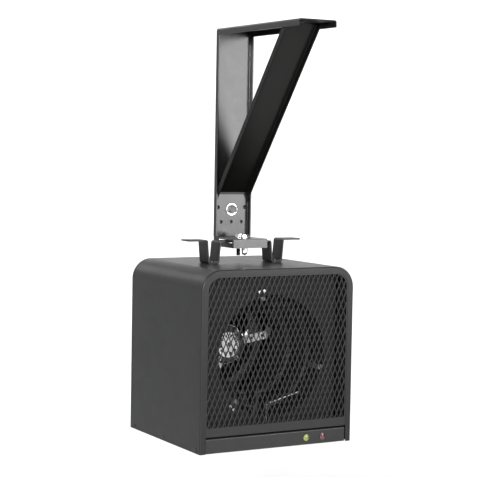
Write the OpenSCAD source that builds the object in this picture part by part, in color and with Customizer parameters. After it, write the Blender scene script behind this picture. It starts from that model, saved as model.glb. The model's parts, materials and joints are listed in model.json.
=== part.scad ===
// Ceiling mounted fan heater: a square sheet metal heater that hangs and
// swivels under a triangular channel bracket.
// Frame: origin at the centre of the four ceiling screw holes, on the top
// face of the bracket's bar. +X is to the right seen from the front, +Y goes
// to the back, +Z is up. All sizes in millimetres.

/* [Cabinet] */
// Width of the heater cabinet
cab_w = 330; // [320:1:350]
// Depth of the heater cabinet, front to back
cab_d = 302; // [298:1:320]
// Height of the heater cabinet
cab_h = 340; // [338:1:350]
// Outer radius of the two rounded top corners
corner_r = 40; // [34:1:46]
// Sheet thickness of the cabinet
sheet_t = 1.2; // [1:0.1:1.5]
// Width of the cabinet's front return lip
lip_w = 12; // [10:0.5:13]
// Height of the lower front panel
panel_h = 28; // [26:0.5:28.5]

/* [Front grille] */
// Short way of one mesh diamond, across
mesh_px = 10.7; // [10:0.1:14]
// Long way of one mesh diamond, up and down
mesh_pz = 24.6; // [23:0.1:30]
// Width of a mesh strand
strand_w = 2.1; // [1.4:0.1:2.2]

/* [Air path] */
// Height of the fan axis below the cabinet top
axis_drop = 169; // [167:1:170]
// Radius of the hole in the orifice plate
orifice_r = 116; // [112:1:117]
// Distance from the front of the cabinet to the orifice plate
orifice_depth = 25; // [22:1:28]
// Radius of the fan blades' tips
fan_r = 99; // [90:1:100]
// Number of fan blades
fan_blades_n = 5; // [3:1:7]
// Pitch of the fan blades in degrees
fan_pitch = 20; // [20:1:30]

/* [Bracket] */
// Outside width of the bracket's channel
arm_w = 79; // [76:1:82]
// Depth of the channel's flanges
arm_flange = 13; // [12:0.5:14]
// Sheet thickness of the bracket
arm_t = 2.5; // [2:0.25:3]
// Length of the bar on the ceiling, front to back
bar_len = 312; // [305:1:330]
// Drop from the ceiling to the top of the swivel tray
post_drop = 408; // [400:1:430]
// Spacing of the ceiling holes across the bar
hole_sx = 40; // [36:1:44]
// Spacing of the ceiling holes along the bar
hole_sy = 240; // [236:1:242]
// Radius of the ceiling holes
hole_r = 4.5; // [3.5:0.25:5.5]

/* [Swivel] */
// Width of the swivel tray
tray_w = 75; // [72:1:76]
// Radius of the lock bolt's arc slot about the pivot bolt
slot_r = 25; // [24:0.5:27]
// Swivel to each side in degrees
swivel_deg = 15; // [8:1:15]

/* [Hidden] */

$fn = 64;
e = 0.01;

// bracket, in the part's frame
post_back = bar_len - 145;              // back face of the post's web
bar_front = -145;                       // front end of the bar
hw = tray_w / 2;
tray_t = 3;
tray_top = -post_drop;
tray_front = post_back - 82;            // front face of the tray
tray_back = post_back + tray_t;
tray_fl = 18;                           // depth of the tray's flanges

// heater, in its own frame: x right, y back from the middle, z from the top
heater_y = 121;
cab_top = tray_top - 48;
piv_y = 12.5;                           // pivot bolt, from the cabinet middle
lock_y = piv_y - slot_r;
strap_t = 3;
strap_top = 43.3;                       // top of the strap above the cabinet
fy = -cab_d / 2;                        // front plane of the cabinet
by = cab_d / 2;                         // back plane of the cabinet
hx = cab_w / 2;
az = -axis_drop;
shelf_z = -cab_h + panel_h + 3;         // underside of the front frame
plate_y = fy + orifice_depth;           // front of the orifice plate
duct_r = 120;
duct_back = 95;
shroud_r = 104;
motor_y = 44;                           // front face of the motor
fan_y = 123;                            // middle of the fan
lamp_z = -cab_h + 14.2;
el_f = -84;                             // plane of the front element
el_r = -46;                             // plane of the rear element
el_fr = 104;                            // radius of the front element
el_rr = 84;                             // radius of the rear element
knob_x = -40;
knob_y = -42;
gland_x = 95;
gland_z = -cab_h + 13.4;

// ------------------------------------------------------------ helpers
module in_heater() translate([0, heater_y, cab_top]) children();

// cylinder along Y from y to y + l, on the point (x, z)
module ycyl(x, y, z, r, l) translate([x, y, z]) rotate([-90, 0, 0]) cylinder(r = r, h = l);
module zcyl(x, y, z, r, l) translate([x, y, z]) cylinder(r = r, h = l);

// box from its two corners
module bx(a, b) translate(a) cube([b[0] - a[0], b[1] - a[1], b[2] - a[2]]);

// hexagon head across flats af, along Z
module hexz(x, y, z, af, h) translate([x, y, z]) cylinder(r = af / sqrt(3), h = h, $fn = 6);
module hexy(x, y, z, af, h) translate([x, y, z]) rotate([-90, 30, 0]) cylinder(r = af / sqrt(3), h = h, $fn = 6);

// cross section of the cabinet, set in by i, open or closed at the bottom
module arch(i, low) {
    r = corner_r - i;
    union() {
        translate([-hx + i, low]) square([cab_w - 2 * i, -corner_r - low]);
        translate([-hx + corner_r, -corner_r - 1]) square([cab_w - 2 * corner_r, corner_r + 1 - i]);
        for (s = [-1, 1]) translate([s * (hx - corner_r), -corner_r]) circle(r = r);
    }
}
// sheet of that section between y0 and y0 + l
module arch_y(i, low, y0, l) translate([0, y0 + l, 0]) rotate([90, 0, 0]) linear_extrude(height = l) arch(i, low);

// strip of thickness t on the right hand side of a run of points
function unit(v) = v / norm(v);
function nrm(a, b) = let (d = unit(b - a)) [d[1], -d[0]];
function mitre(p, i, t) =
    i == 0 ? p[0] + nrm(p[0], p[1]) * t :
    i == len(p) - 1 ? p[i] + nrm(p[i - 1], p[i]) * t :
    let (n1 = nrm(p[i - 1], p[i]), n2 = nrm(p[i], p[i + 1]), m = unit(n1 + n2))
    p[i] + m * (t / (m * n1));
function strip(p, t) = concat(p, [for (i = [len(p) - 1 : -1 : 0]) mitre(p, i, t)]);

// ------------------------------------------------------------ bracket
module arm_path(o, q, w) {
    // L outline set in by o from the outside, reaching q from it, w wide
    rotate([90, 0, 90]) translate([0, 0, -w / 2]) linear_extrude(height = w)
        polygon([[bar_front - (o > 0 ? 1 : 0), -o], [post_back - o, -o],
                 [post_back - o, tray_top + 0.3 - (o > 0 ? 1 : 0)],
                 [post_back - q, tray_top + 0.3 - (o > 0 ? 1 : 0)],
                 [post_back - q, -q], [bar_front - (o > 0 ? 1 : 0), -q]]);
}
module ceiling_arm() color([0.13, 0.13, 0.13]) difference() {
    arm_path(0, arm_flange, arm_w);
    arm_path(arm_t, arm_flange + 1, arm_w - 2 * arm_t);
    for (x = [-1, 1], y = [-1, 1]) zcyl(x * hole_sx / 2, y * hole_sy / 2, -10, hole_r, 20);
    // main bolt, side holes and the row of three
    ycyl(0, post_back - 10, tray_top + 54, 5.3, 20);
    for (x = [-1, 1]) ycyl(x * 30, post_back - 10, tray_top + 58, 3.8, 20);
    for (x = [-1, 0, 1]) ycyl(x * 22.8, post_back - 10, tray_top + 29, 3.3, 20);
    ycyl(28.5, post_back - 10, -12, 1.2, 20);
    // brace rivets
    for (x = [-1, 1]) {
        ycyl(x * 20, post_back - 10, brz - 0, 2.6, 20);
        zcyl(x * 20, bry, -10, 2.6, 20);
    }
}
// lower and upper crossings of the brace's flange edges with the channel's
bl = [post_back - arm_flange, -327];
bu = [-93, -arm_flange];
bd = unit(bu - bl);
bn = [bd[1], -bd[0]] * -1;              // towards the corner of the bracket
bc = [abs(bd[1]), abs(bd[0])];
b_w = arm_w - 2 * arm_t - 1;            // brace width, between the flanges
b_back = bl + bc * arm_flange;          // a point of the web's back face
// rivet places on the two tabs
brz = b_back[1] + (b_back[0] - (post_back - arm_t)) * abs(bd[1] / bd[0]) + 14;
bry = b_back[0] + bd[0] * ((-arm_t - b_back[1]) / bd[1]) + 14;

module arm_brace() color([0.12, 0.12, 0.12]) union() {
    intersection() {
        bx([-50, bar_front, tray_top], [50, post_back - arm_t - 0.1, -arm_t - 0.1]);
        translate([0, bl[0], bl[1]]) rotate([atan2(-bd[0], bd[1]), 0, 0]) difference() {
            translate([-b_w / 2, 0, -60]) cube([b_w, arm_flange, 560]);
            translate([-b_w / 2 + arm_t, -1, -61]) cube([b_w - 2 * arm_t, arm_flange + 1 - arm_t, 562]);
        }
    }
    difference() {
        bx([-b_w / 2 + 1, post_back - 2 * arm_t, brz - 19], [b_w / 2 - 1, post_back - arm_t, brz + 12]);
        for (x = [-1, 1]) ycyl(x * 20, post_back - 10, brz, 2.6, 20);
    }
    difference() {
        bx([-b_w / 2 + 1, bry - 19, -2 * arm_t], [b_w / 2 - 1, bry + 12, -arm_t]);
        for (x = [-1, 1]) zcyl(x * 20, bry, -10, 2.6, 20);
    }
}
module brace_rivets() color([0.1, 0.1, 0.1]) for (x = [-1, 1]) {
    union() {
        ycyl(x * 20, post_back - 2 * arm_t - e, brz, 2.5, 2 * arm_t + e);
        ycyl(x * 20, post_back - 2 * arm_t - 2, brz, 4.5, 2);
    }
    union() {
        zcyl(x * 20, bry, -2 * arm_t - e, 2.5, 2 * arm_t + e);
        zcyl(x * 20, bry, -2 * arm_t - 2, 4.5, 2);
    }
}

module arc_slot(r, a, w, z, h) {
    // slot about the pivot, open to each side by a degrees
    translate([0, heater_y + piv_y, z]) {
        rotate([0, 0, -90 - a]) rotate_extrude(angle = 2 * a) translate([r - w, 0]) square([2 * w, h]);
        for (s = [-a, a]) rotate([0, 0, -90 + s]) translate([r, 0, 0]) cylinder(r = w, h = h);
    }
}
module swivel_tray() color([0.2, 0.2, 0.2]) difference() {
    union() {
        bx([-hw, tray_front, tray_top - tray_t], [hw, post_back, tray_top]);
        bx([-hw + 2, post_back - e, tray_top - tray_t], [hw - 2, tray_back, tray_top]);
        bx([-hw + 2, post_back, tray_top - tray_t], [hw - 2, tray_back, tray_top + 75]);
        bx([-hw + 0.6, tray_front, tray_top - tray_fl], [hw - 0.6, tray_front + tray_t, tray_top]);
        for (s = [-1, 1]) bx([s * (hw - tray_t / 2) - tray_t / 2, tray_front + tray_t - 0.5, tray_top - tray_fl],
                             [s * (hw - tray_t / 2) + tray_t / 2, post_back, tray_top]);
    }
    // windows in the side flanges, the strap runs through them
    bx([-hw - 1, heater_y - 30.5, tray_top - 8.5], [hw + 1, heater_y + 29.5, tray_top - tray_t]);
    zcyl(0, heater_y + piv_y, tray_top - 20, 4.1, 40);
    arc_slot(slot_r, swivel_deg + 1, 4.5, tray_top - 10, 20);
    ycyl(0, post_back - 10, tray_top + 54, 5.3, 20);
}
module tray_bolt() color([0.45, 0.45, 0.45]) union() {
    ycyl(0, post_back - arm_t - 2 - e, tray_top + 54, 5, arm_t + 2 + tray_t + 14);
    hexy(0, post_back - arm_t - 2 - 6.4, tray_top + 54, 16, 6.4);
}
module tray_washer() color([0.85, 0.85, 0.85]) difference() {
    ycyl(0, post_back - arm_t - 2, tray_top + 54, 12, 2);
    ycyl(0, post_back - arm_t - 3, tray_top + 54, 5.2, 5);
}
module tray_nut() color([0.75, 0.75, 0.75]) difference() {
    union() {
        ycyl(0, tray_back, tray_top + 54, 10, 2);
        hexy(0, tray_back + 2, tray_top + 54, 16, 8);
    }
    ycyl(0, tray_back - 1, tray_top + 54, 5.05, 20);
}

module pivot_bolt() color([0.8, 0.8, 0.8]) translate([0, heater_y + piv_y, 0]) union() {
    zcyl(0, 0, tray_top - 35.5, 4, 35.5 + 1.6 + e);
    zcyl(0, 0, tray_top, 8, 1.6);
    hexz(0, 0, tray_top + 1.6, 13, 5.6);
}
module friction_washer() color([0.2, 0.2, 0.18]) translate([0, heater_y + piv_y, 0]) difference() {
    zcyl(0, 0, tray_top - tray_t - 1.5, 10, 1.5);
    zcyl(0, 0, tray_top - tray_t - 2, 4.15, 4);
}
module pivot_nut() color([0.7, 0.7, 0.7]) translate([0, heater_y + piv_y, 0]) difference() {
    hexz(0, 0, cab_top + strap_top - strap_t - 0.3 - 6.5, 13, 6.5);
    zcyl(0, 0, cab_top + strap_top - 20, 4.05, 40);
}

// ------------------------------------------------------------ hanger
module hanger_strap() color([0.13, 0.13, 0.13]) in_heater() difference() {
    translate([0, 18, 0]) rotate([90, 0, 0]) linear_extrude(height = 36)
        polygon(strip([[125, strap_top + 3], [83.6, strap_top + 3], [79.8, strap_t], [61.2, strap_t], [57.6, strap_top],
                       [-57.6, strap_top], [-61.2, strap_t], [-79.8, strap_t], [-83.6, strap_top + 3], [-125, strap_top + 3]], -strap_t));
    zcyl(0, piv_y, 30, 4.06, 20);
    zcyl(0, lock_y, 30, 4.06, 20);
    for (x = [-1, 1], y = [-1, 1]) zcyl(x * 70.5, y * 9.5, -5, 2.6, 20);
}
module strap_screws() color([0.2, 0.2, 0.2]) in_heater() for (x = [-1, 1], y = [-1, 1]) union() {
    zcyl(x * 70.5, y * 9.5, -9, 2.45, 9 + strap_t + e);
    zcyl(x * 70.5, y * 9.5, strap_t, 4.4, 2.8);
}
module strap_nuts() color([0.7, 0.7, 0.7]) in_heater() for (x = [-1, 1], y = [-1, 1]) difference() {
    hexz(x * 70.5, y * 9.5, -sheet_t - 4, 8, 4);
    zcyl(x * 70.5, y * 9.5, -20, 2.5, 40);
}
module lock_bolt() color([0.6, 0.6, 0.6]) in_heater() union() {
    zcyl(0, lock_y, 20, 4, 48 - 20 + 0.2 + 1.6 + e);
    zcyl(0, lock_y, 48.2, 8, 1.6);
    hexz(0, lock_y, 49.8, 13, 5.6);
}
module lock_nut() color([0.9, 0.9, 0.9]) in_heater() difference() {
    union() {
        hexz(0, lock_y, strap_top - strap_t - 9, 13, 9);
        zcyl(0, lock_y, 20.5, 5.9, strap_top - strap_t - 9 - 20.5 + e);
        translate([0, lock_y, 20.5]) sphere(r = 5.9);
    }
    zcyl(0, lock_y, 19.3, 4.05, 30);
}

// ------------------------------------------------------------ casing
module cabinet_shell() color([0.27, 0.27, 0.27]) in_heater() difference() {
    arch_y(0, -cab_h, fy, cab_d);
    arch_y(sheet_t, -cab_h - 5, fy + sheet_t, cab_d - 2 * sheet_t);
    arch_y(lip_w, -cab_h - 5, fy - 1, cab_d / 2);
    arch_y(10, -cab_h - 5, 0, cab_d / 2 + 1);
    for (x = [-1, 1], y = [-1, 1]) zcyl(x * 70.5, y * 9.5, -10, 2.6, 20);
    for (y = [-132, 1, 128]) translate([-hx - 1, y, -cab_h + 7]) rotate([0, 90, 0]) cylinder(r = 2, h = cab_w + 2);
}
module base_pan() color([0.2, 0.2, 0.2]) in_heater() difference() {
    union() {
        bx([-hx + sheet_t + 0.1, fy + 14, -cab_h], [hx - sheet_t - 0.1, by - sheet_t, -cab_h + sheet_t]);
        for (s = [-1, 1]) bx([s * (hx - 1.5 * sheet_t - 0.1) - sheet_t / 2, fy + 14, -cab_h],
                             [s * (hx - 1.5 * sheet_t - 0.1) + sheet_t / 2, by - 2.6, -cab_h + 15]);
    }
    zcyl(knob_x, knob_y, -cab_h - 5, 5.2, 20);
    for (y = [-132, 1, 128]) translate([-hx - 1, y, -cab_h + 7]) rotate([0, 90, 0]) cylinder(r = 2, h = cab_w + 2);
}
module cabinet_screws() color([0.15, 0.15, 0.15]) in_heater() for (s = [-1, 1], y = [-132, 1, 128])
    translate([s * hx, y, -cab_h + 7]) rotate([0, s * 90, 0]) union() {
        translate([0, 0, -8]) cylinder(r = 1.9, h = 8 + e);
        cylinder(r = 3.6, h = 1.6);
    }
module rear_panel() color([0.22, 0.22, 0.22]) in_heater() difference() {
    arch_y(sheet_t + 0.2, -cab_h + sheet_t + 0.1, by - 2 * sheet_t, sheet_t);
    ycyl(0, by - 10, az, shroud_r, 20);
    ycyl(gland_x, by - 10, gland_z, 9.1, 20);
    for (a = [45 : 90 : 315]) ycyl(111 * cos(a), by - 10, az + 111 * sin(a), 1.7, 20);
}
module front_frame() color([0.24, 0.24, 0.24]) in_heater() difference() {
    union() {
        arch_y(sheet_t + 0.3, shelf_z, fy + sheet_t, sheet_t);
        bx([-hx + 12.5, fy + sheet_t, shelf_z], [hx - 12.5, fy + 12, shelf_z + sheet_t]);
    }
    translate([0, fy + sheet_t + 5, 0]) rotate([90, 0, 0]) linear_extrude(height = 10) union() {
        translate([-hx + 14.5, shelf_z + 17]) square([cab_w - 29, -corner_r - shelf_z - 17]);
        translate([-hx + corner_r, -corner_r - 1]) square([cab_w - 2 * corner_r, corner_r - 13.5]);
        for (s = [-1, 1]) translate([s * (hx - corner_r), -corner_r]) circle(r = corner_r - 14.5);
    }
}
// rhombic openings on two interleaved grids, inside the frame's opening
mesh_top = -11;
mesh_low = shelf_z + 12;
module diamond(x, z) polygon([[x - (mesh_px - strand_w) / 2, z], [x, z - (mesh_pz - 2.3 * strand_w) / 2],
                              [x + (mesh_px - strand_w) / 2, z], [x, z + (mesh_pz - 2.3 * strand_w) / 2]]);
module mesh_grille() color([0.33, 0.33, 0.33]) in_heater()
    translate([0, fy + 2 * sheet_t + 1.5, 0]) rotate([90, 0, 0]) linear_extrude(height = 1.5) difference() {
        arch(10.5, mesh_low);
        intersection() {
            arch(12.5, mesh_low + 2.5);
            union() {
                for (i = [-14 : 14], j = [0 : 11]) diamond(i * mesh_px, mesh_top - 2 - j * mesh_pz);
                for (i = [-14 : 15], j = [0 : 11]) diamond((i - 0.5) * mesh_px, mesh_top - 2 - (j + 0.5) * mesh_pz);
            }
        }
    }
module control_panel() color([0.27, 0.27, 0.27]) in_heater() difference() {
    union() {
        bx([-hx + lip_w + 0.5, fy, -cab_h + 0.3], [hx - lip_w - 2.5, fy + sheet_t, -cab_h + panel_h]);
        bx([-hx + lip_w + 0.5, fy, -cab_h + panel_h - sheet_t], [hx - lip_w - 2.5, fy + 12, -cab_h + panel_h]);
        bx([-hx + lip_w + 0.5, fy, -cab_h + 0.3], [hx - lip_w - 2.5, fy + 13.5, -cab_h + 0.3 + sheet_t]);
    }
    for (x = [63.5, 100]) ycyl(x, fy - 5, lamp_z, 5.1, 12);
}
module partition_shelf() color([0.3, 0.3, 0.3]) in_heater() difference() {
    union() {
        bx([-hx + 3, fy + 26, shelf_z - 2.6], [hx - 3, by - 8, shelf_z - 1.4]);
        bx([-hx + 12.5, fy + 12.3, shelf_z - 2.6], [hx - 12.5, fy + 26 + e, shelf_z - 1.4]);
    }
    for (x = [-1, 1], y = [el_f, el_r]) zcyl(x * 14, y, shelf_z - 10, 5.6, 20);
    zcyl(-16, plate_y - 10, shelf_z - 10, 2, 20);
}
module lamp(x, c) color(c) in_heater() union() {
    ycyl(x, fy - 1.4, lamp_z, 6.2, 1.4);
    translate([x, fy - 1.4, lamp_z]) intersection() {
        translate([0, 7.2, 0]) sphere(r = 9);
        translate([-10, -5, -10]) cube([20, 5 + e, 20]);
    }
    ycyl(x, fy - e, lamp_z, 5, 8);
}
module power_lamp() lamp(63.5, [0.72, 0.8, 0.2]);
module heat_lamp() lamp(100, [0.65, 0.08, 0.12]);
module lamp_bodies() color([0.15, 0.15, 0.15]) in_heater() for (x = [63.5, 100]) union() {
    difference() {
        ycyl(x, fy + sheet_t, lamp_z, 7.2, 3);
        ycyl(x, fy, lamp_z, 5.05, 8);
    }
    ycyl(x, fy + 8.1, lamp_z, 5, 10);
    difference() {
        ycyl(x, fy + sheet_t + 3 - e, lamp_z, 6.2, 4);
        ycyl(x, fy, lamp_z, 5.05, 8.05);
    }
    for (s = [-1, 1]) bx([x + s * 2.5 - 0.4, fy + 18, lamp_z - 3], [x + s * 2.5 + 0.4, fy + 26, lamp_z + 3]);
}

// ------------------------------------------------------------ air path
brk_a = [101.5, 227.6, 346];              // element brackets, two screws each
brk_r = 126;
module orifice_plate() color([0.21, 0.21, 0.21]) in_heater() difference() {
    union() {
        bx([-141, plate_y, shelf_z - 1.4], [141, plate_y + sheet_t, -13]);
        for (s = [-1, 1]) {
            bx([s * 140.4 - 0.6, plate_y, shelf_z - 1.4], [s * 140.4 + 0.6, plate_y + 26, -30]);
            bx([min(s * 140, s * (hx - 1.5)), plate_y + 24.8, shelf_z - 1.4], [max(s * 140, s * (hx - 1.5)), plate_y + 26, -44]);
        }
    }
    ycyl(0, plate_y - 5, az, orifice_r, 20);
    for (a = brk_a) translate([0, 0, az]) rotate([0, -a, 0]) for (t = [-5, 5]) ycyl(brk_r, plate_y - 5, t, 1.8, 20);
}
module orifice_screws() color([0.85, 0.85, 0.85]) in_heater() for (a = brk_a, t = [-5, 5])
    translate([0, 0, az]) rotate([0, -a, 0]) translate([brk_r, plate_y, t]) union() {
        ycyl(0, -2, 0, 3.4, 2);
        ycyl(0, -e, 0, 1.7, 8);
    }
module air_duct() color([0.3, 0.3, 0.3]) in_heater() difference() {
    union() {
        ycyl(0, plate_y + sheet_t, az, duct_r + 1, duct_back - plate_y - sheet_t);
        ycyl(0, duct_back - 1, az, duct_r + 9, 1);
    }
    ycyl(0, plate_y - 5, az, duct_r, 400);
    for (a = brk_a) ycyl(brk_r * cos(a), plate_y - 5, az + brk_r * sin(a), 13, 16);
    // arm screws
    for (a = [9, 129, 249]) translate([0, motor_y + 45.5, az]) rotate([0, -a, 0]) translate([duct_r - 10, 0, 0]) rotate([0, 90, 0]) cylinder(r = 2.1, h = 30);
    // element legs
    for (x = [-1, 1], y = [el_f, el_r]) zcyl(x * 14, y, az - 130, 5.6, 60);
}
module element(y, r) {
    // open ring with two legs that go down through the duct
    a = asin(14 / r);
    union() {
        translate([0, y, az]) rotate([90, 0, 0]) rotate([0, 0, -90 + a]) rotate_extrude(angle = 360 - 2 * a)
            translate([r, 0]) circle(r = 4);
        for (s = [-1, 1]) {
            translate([s * 14, y, az - sqrt(r * r - 196)]) sphere(r = 4.02);
            zcyl(s * 14, y, shelf_z - 16, 3.99, -(shelf_z - 16) + az - sqrt(r * r - 196));
        }
    }
}
module heating_element_front() color([0.16, 0.16, 0.16]) in_heater() element(el_f, el_fr);
module heating_element_rear() color([0.16, 0.16, 0.16]) in_heater() element(el_r, el_rr);
module fins(y, r, n, fr) for (i = [0 : n - 1]) {
    a = -90 + 24 + (360 - 48) * i / (n - 1);
    translate([r * cos(a), y, az + r * sin(a)]) rotate([0, -a, 0]) difference() {
        translate([0, 0, -0.4]) cylinder(r = fr, h = 0.8);
        translate([0, 0, -1]) cylinder(r = 4.2, h = 2);
    }
}
module element_fins() color([0.2, 0.2, 0.2]) in_heater() {
    fins(el_f, el_fr, 41, 9);
    fins(el_r, el_rr, 36, 9);
}
module element_brackets() color([0.5, 0.5, 0.5]) in_heater() for (a = brk_a)
    translate([0, 0, az]) rotate([0, -a, 0]) difference() {
        union() {
            // tab on the plate, arm inwards behind it, clip on the ring
            bx([brk_r - 5, plate_y + sheet_t, -9], [brk_r + 6, plate_y + sheet_t + 1.4, 9]);
            bx([el_fr + 4.3, plate_y + sheet_t, -5], [duct_r + 3, plate_y + sheet_t + 1.4, 5]);
            bx([el_fr + 9.6, plate_y + sheet_t, -5], [el_fr + 11, el_f, 5]);
            bx([el_fr + 4.3, el_f - 1, -1.2], [el_fr + 11, el_f + 1, 1.2]);
        }
        for (t = [-5, 5]) ycyl(brk_r, plate_y - 5, t, 1.8, 20);
    }
module terminal_bushings() color([0.88, 0.86, 0.8]) in_heater() for (x = [-1, 1], y = [el_f, el_r]) difference() {
    union() {
        zcyl(x * 14, y, shelf_z - 7, 5.4, 14);
        zcyl(x * 14, y, shelf_z - 1.4, 8, 3);
    }
    zcyl(x * 14, y, shelf_z - 10, 4.05, 30);
}
module limit_switch() color([0.15, 0.15, 0.15]) in_heater() {
    // snap disc thermostat on the duct's outside
    translate([-duct_r - 1, -20, az]) rotate([0, -90, 0]) union() {
        cylinder(r = 8, h = 9);
        translate([-13, -7, 0]) cube([26, 14, 0.9]);
    }
}

// ------------------------------------------------------------ controls
bulb_y = plate_y - 9.5;
module thermostat_bulb() color([0.75, 0.7, 0.62]) in_heater() union() {
    // sensing bulb across the lower right of the orifice, tube down to the body
    translate([-8, bulb_y, -255]) rotate([0, 90 - 14.5, 0]) cylinder(r = 2.6, h = 68);
    translate([-8, bulb_y, -255]) sphere(r = 2.75);
    translate([-8, bulb_y, -255]) rotate([0, -60 - 90, 0]) cylinder(r = 1.2, h = 16);
    translate([-16, bulb_y, -255 - 13.857]) sphere(r = 1.35);
    zcyl(-16, bulb_y, shelf_z - 11, 1.2, -255 - 13.857 - shelf_z + 11);
}
module thermostat_body() color([0.4, 0.4, 0.4]) in_heater() difference() {
    union() {
        bx([knob_x - 18, knob_y - 14, -cab_h + 4.2], [knob_x + 18, knob_y + 14, -cab_h + 21]);
        zcyl(knob_x, knob_y, -cab_h - 1.6, 5, 6);
        hexz(knob_x, knob_y, -cab_h - 1.8, 14, 1.8);
    }
    zcyl(knob_x, knob_y, -cab_h - 5, 3.05, 20);
}
module thermostat_knob() color([0.08, 0.08, 0.08]) in_heater() difference() {
    union() {
        zcyl(knob_x, knob_y, -cab_h - 19, 15, 12.5);
        zcyl(knob_x, knob_y, -cab_h - 7, 18.5, 4.5);
        bx([knob_x - 3.4, knob_y - 18, -cab_h - 21.5], [knob_x + 3.4, knob_y + 18, -cab_h - 6.6]);
        zcyl(knob_x, knob_y, -cab_h - 19, 3, 26);
    }
    difference() {
        zcyl(knob_x, knob_y, -cab_h - 16, 12.5, 20);
        zcyl(knob_x, knob_y, -cab_h - 19, 5.5, 12);
        zcyl(knob_x, knob_y, -cab_h - 19, 3, 30);
    }
}
module terminal_block() color([0.85, 0.84, 0.78]) in_heater() difference() {
    bx([72, 104, -cab_h + sheet_t], [118, 124, -cab_h + 16]);
    for (i = [0 : 2]) {
        zcyl(80.5 + i * 14.5, 114, -cab_h + 8, 3, 20);
        ycyl(80.5 + i * 14.5, 100, -cab_h + 6.5, 2.4, 30);
    }
}
module wire(p) union() {
    for (i = [0 : len(p) - 2]) {
        d = p[i + 1] - p[i];
        translate(p[i]) rotate([0, acos(d[2] / norm(d)), atan2(d[1], d[0])]) cylinder(r = 1.3, h = norm(d));
    }
    if (len(p) > 2) for (i = [1 : len(p) - 2]) translate(p[i]) sphere(r = 1.3);
}
module lead_wires() color([0.12, 0.12, 0.12]) in_heater() {
    z = -cab_h + 6.5;
    wire([[80.5, 103.5, z], [80.5, 20, z], [knob_x + 6, 20, z], [knob_x + 6, knob_y + 14.2, z]]);
    wire([[95, 103.5, z], [95, el_r + 6, z], [14, el_r + 6, z], [14, el_r + 6, shelf_z - 15]]);
    wire([[109.5, 103.5, z], [109.5, fy + 40, z], [97.5, fy + 40, z], [97.5, fy + 40, lamp_z], [97.5, fy + 26.9, lamp_z]]);
    wire([[61, fy + 26.9, lamp_z], [61, fy + 44, lamp_z], [61, fy + 44, z], [knob_x + 10, fy + 44, z], [knob_x + 10, knob_y - 14.2, z]]);
}
module cable_gland() color([0.07, 0.07, 0.07]) in_heater() difference() {
    union() {
        ycyl(gland_x, by - 12, gland_z, 9, 12);
        hexy(gland_x, by - sheet_t, gland_z, 21, 6);
        ycyl(gland_x, by + 4.5, gland_z, 10, 13.5);
    }
    ycyl(gland_x, by - 20, gland_z, 6.5, 60);
}
module gland_nut() color([0.07, 0.07, 0.07]) in_heater() difference() {
    hexy(gland_x, by - 2 * sheet_t - 5, gland_z, 21, 5);
    ycyl(gland_x, by - 20, gland_z, 9.05, 60);
}

// ------------------------------------------------------------ motor and fan
module motor_shell() color([0.55, 0.55, 0.56]) in_heater() difference() {
    ycyl(0, motor_y + 12, az, 38, 38);
    ycyl(0, motor_y + 10, az, 36.6, 50);
}
module motor_front_bell() color([0.85, 0.85, 0.86]) in_heater() difference() {
    union() {
        ycyl(0, motor_y + 3, az, 36.5, 9);
        ycyl(0, motor_y + 9, az, 38, 3);
        ycyl(0, motor_y, az, 12, 6);
        ycyl(0, motor_y + 1.2, az, 26, 3);
        for (a = [55, 125, 235, 305]) ycyl(32.5 * cos(a), motor_y + 1.5, az + 32.5 * sin(a), 4.6, 4);
    }
    difference() {
        ycyl(0, motor_y + 5, az, 34.5, 10);
        ycyl(0, motor_y + 4, az, 12, 12);
        for (a = [55, 125, 235, 305]) ycyl(32.5 * cos(a), motor_y + 1.5, az + 32.5 * sin(a), 4.6, 12);
    }
    difference() {
        ycyl(0, motor_y - 1, az, 22.5, 3.4);
        ycyl(0, motor_y - 2, az, 15, 6);
    }
    for (a = [0 : 36 : 324]) translate([0, motor_y, az]) rotate([0, -a, 0]) bx([14.5, -3, -2.4], [23.5, 9, 2.4]);
    ycyl(0, motor_y - 5, az, 5.2, 30);
    for (a = [55, 125, 235, 305]) ycyl(32.5 * cos(a), motor_y - 5, az + 32.5 * sin(a), 2, 30);
}
module motor_rear_bell() color([0.8, 0.8, 0.81]) in_heater() difference() {
    union() {
        ycyl(0, motor_y + 50, az, 38, 4);
        ycyl(0, motor_y + 54 - e, az, 28.5, 3);
        ycyl(0, motor_y + 57 - e, az, 12, 3);
        ycyl(0, motor_y + 46.2, az, 12, 4);
    }
    ycyl(0, motor_y + 40, az, 5.2, 30);
    for (a = [22.5 : 45 : 337.5]) ycyl(23 * cos(a), motor_y + 45, az + 23 * sin(a), 4.5, 20);
    for (a = [55, 125, 235, 305]) ycyl(32.5 * cos(a), motor_y + 45, az + 32.5 * sin(a), 2, 30);
}
module motor_stator() color([0.35, 0.2, 0.12]) in_heater() difference() {
    ycyl(0, motor_y + 17, az, 36.5, 28);
    ycyl(0, motor_y + 10, az, 20.7, 50);
    for (a = [55, 125, 235, 305]) ycyl(32.5 * cos(a), motor_y + 10, az + 32.5 * sin(a), 2, 50);
}
module motor_bolts() color([0.85, 0.85, 0.85]) in_heater() for (a = [55, 125, 235, 305])
    translate([32.5 * cos(a), 0, az + 32.5 * sin(a)]) union() {
        ycyl(0, motor_y - 1.1, 0, 3.4, 2.6);
        ycyl(0, motor_y + 1.4, 0, 1.8, 54);
        ycyl(0, motor_y + 54, 0, 3.4, 2.4);
    }
module motor_bearings() color([0.72, 0.55, 0.3]) in_heater() for (y = [motor_y + 4, motor_y + 50]) difference() {
    ycyl(0, y, az, 5.1, 8);
    ycyl(0, y - 1, az, 4.05, 20);
}
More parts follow.
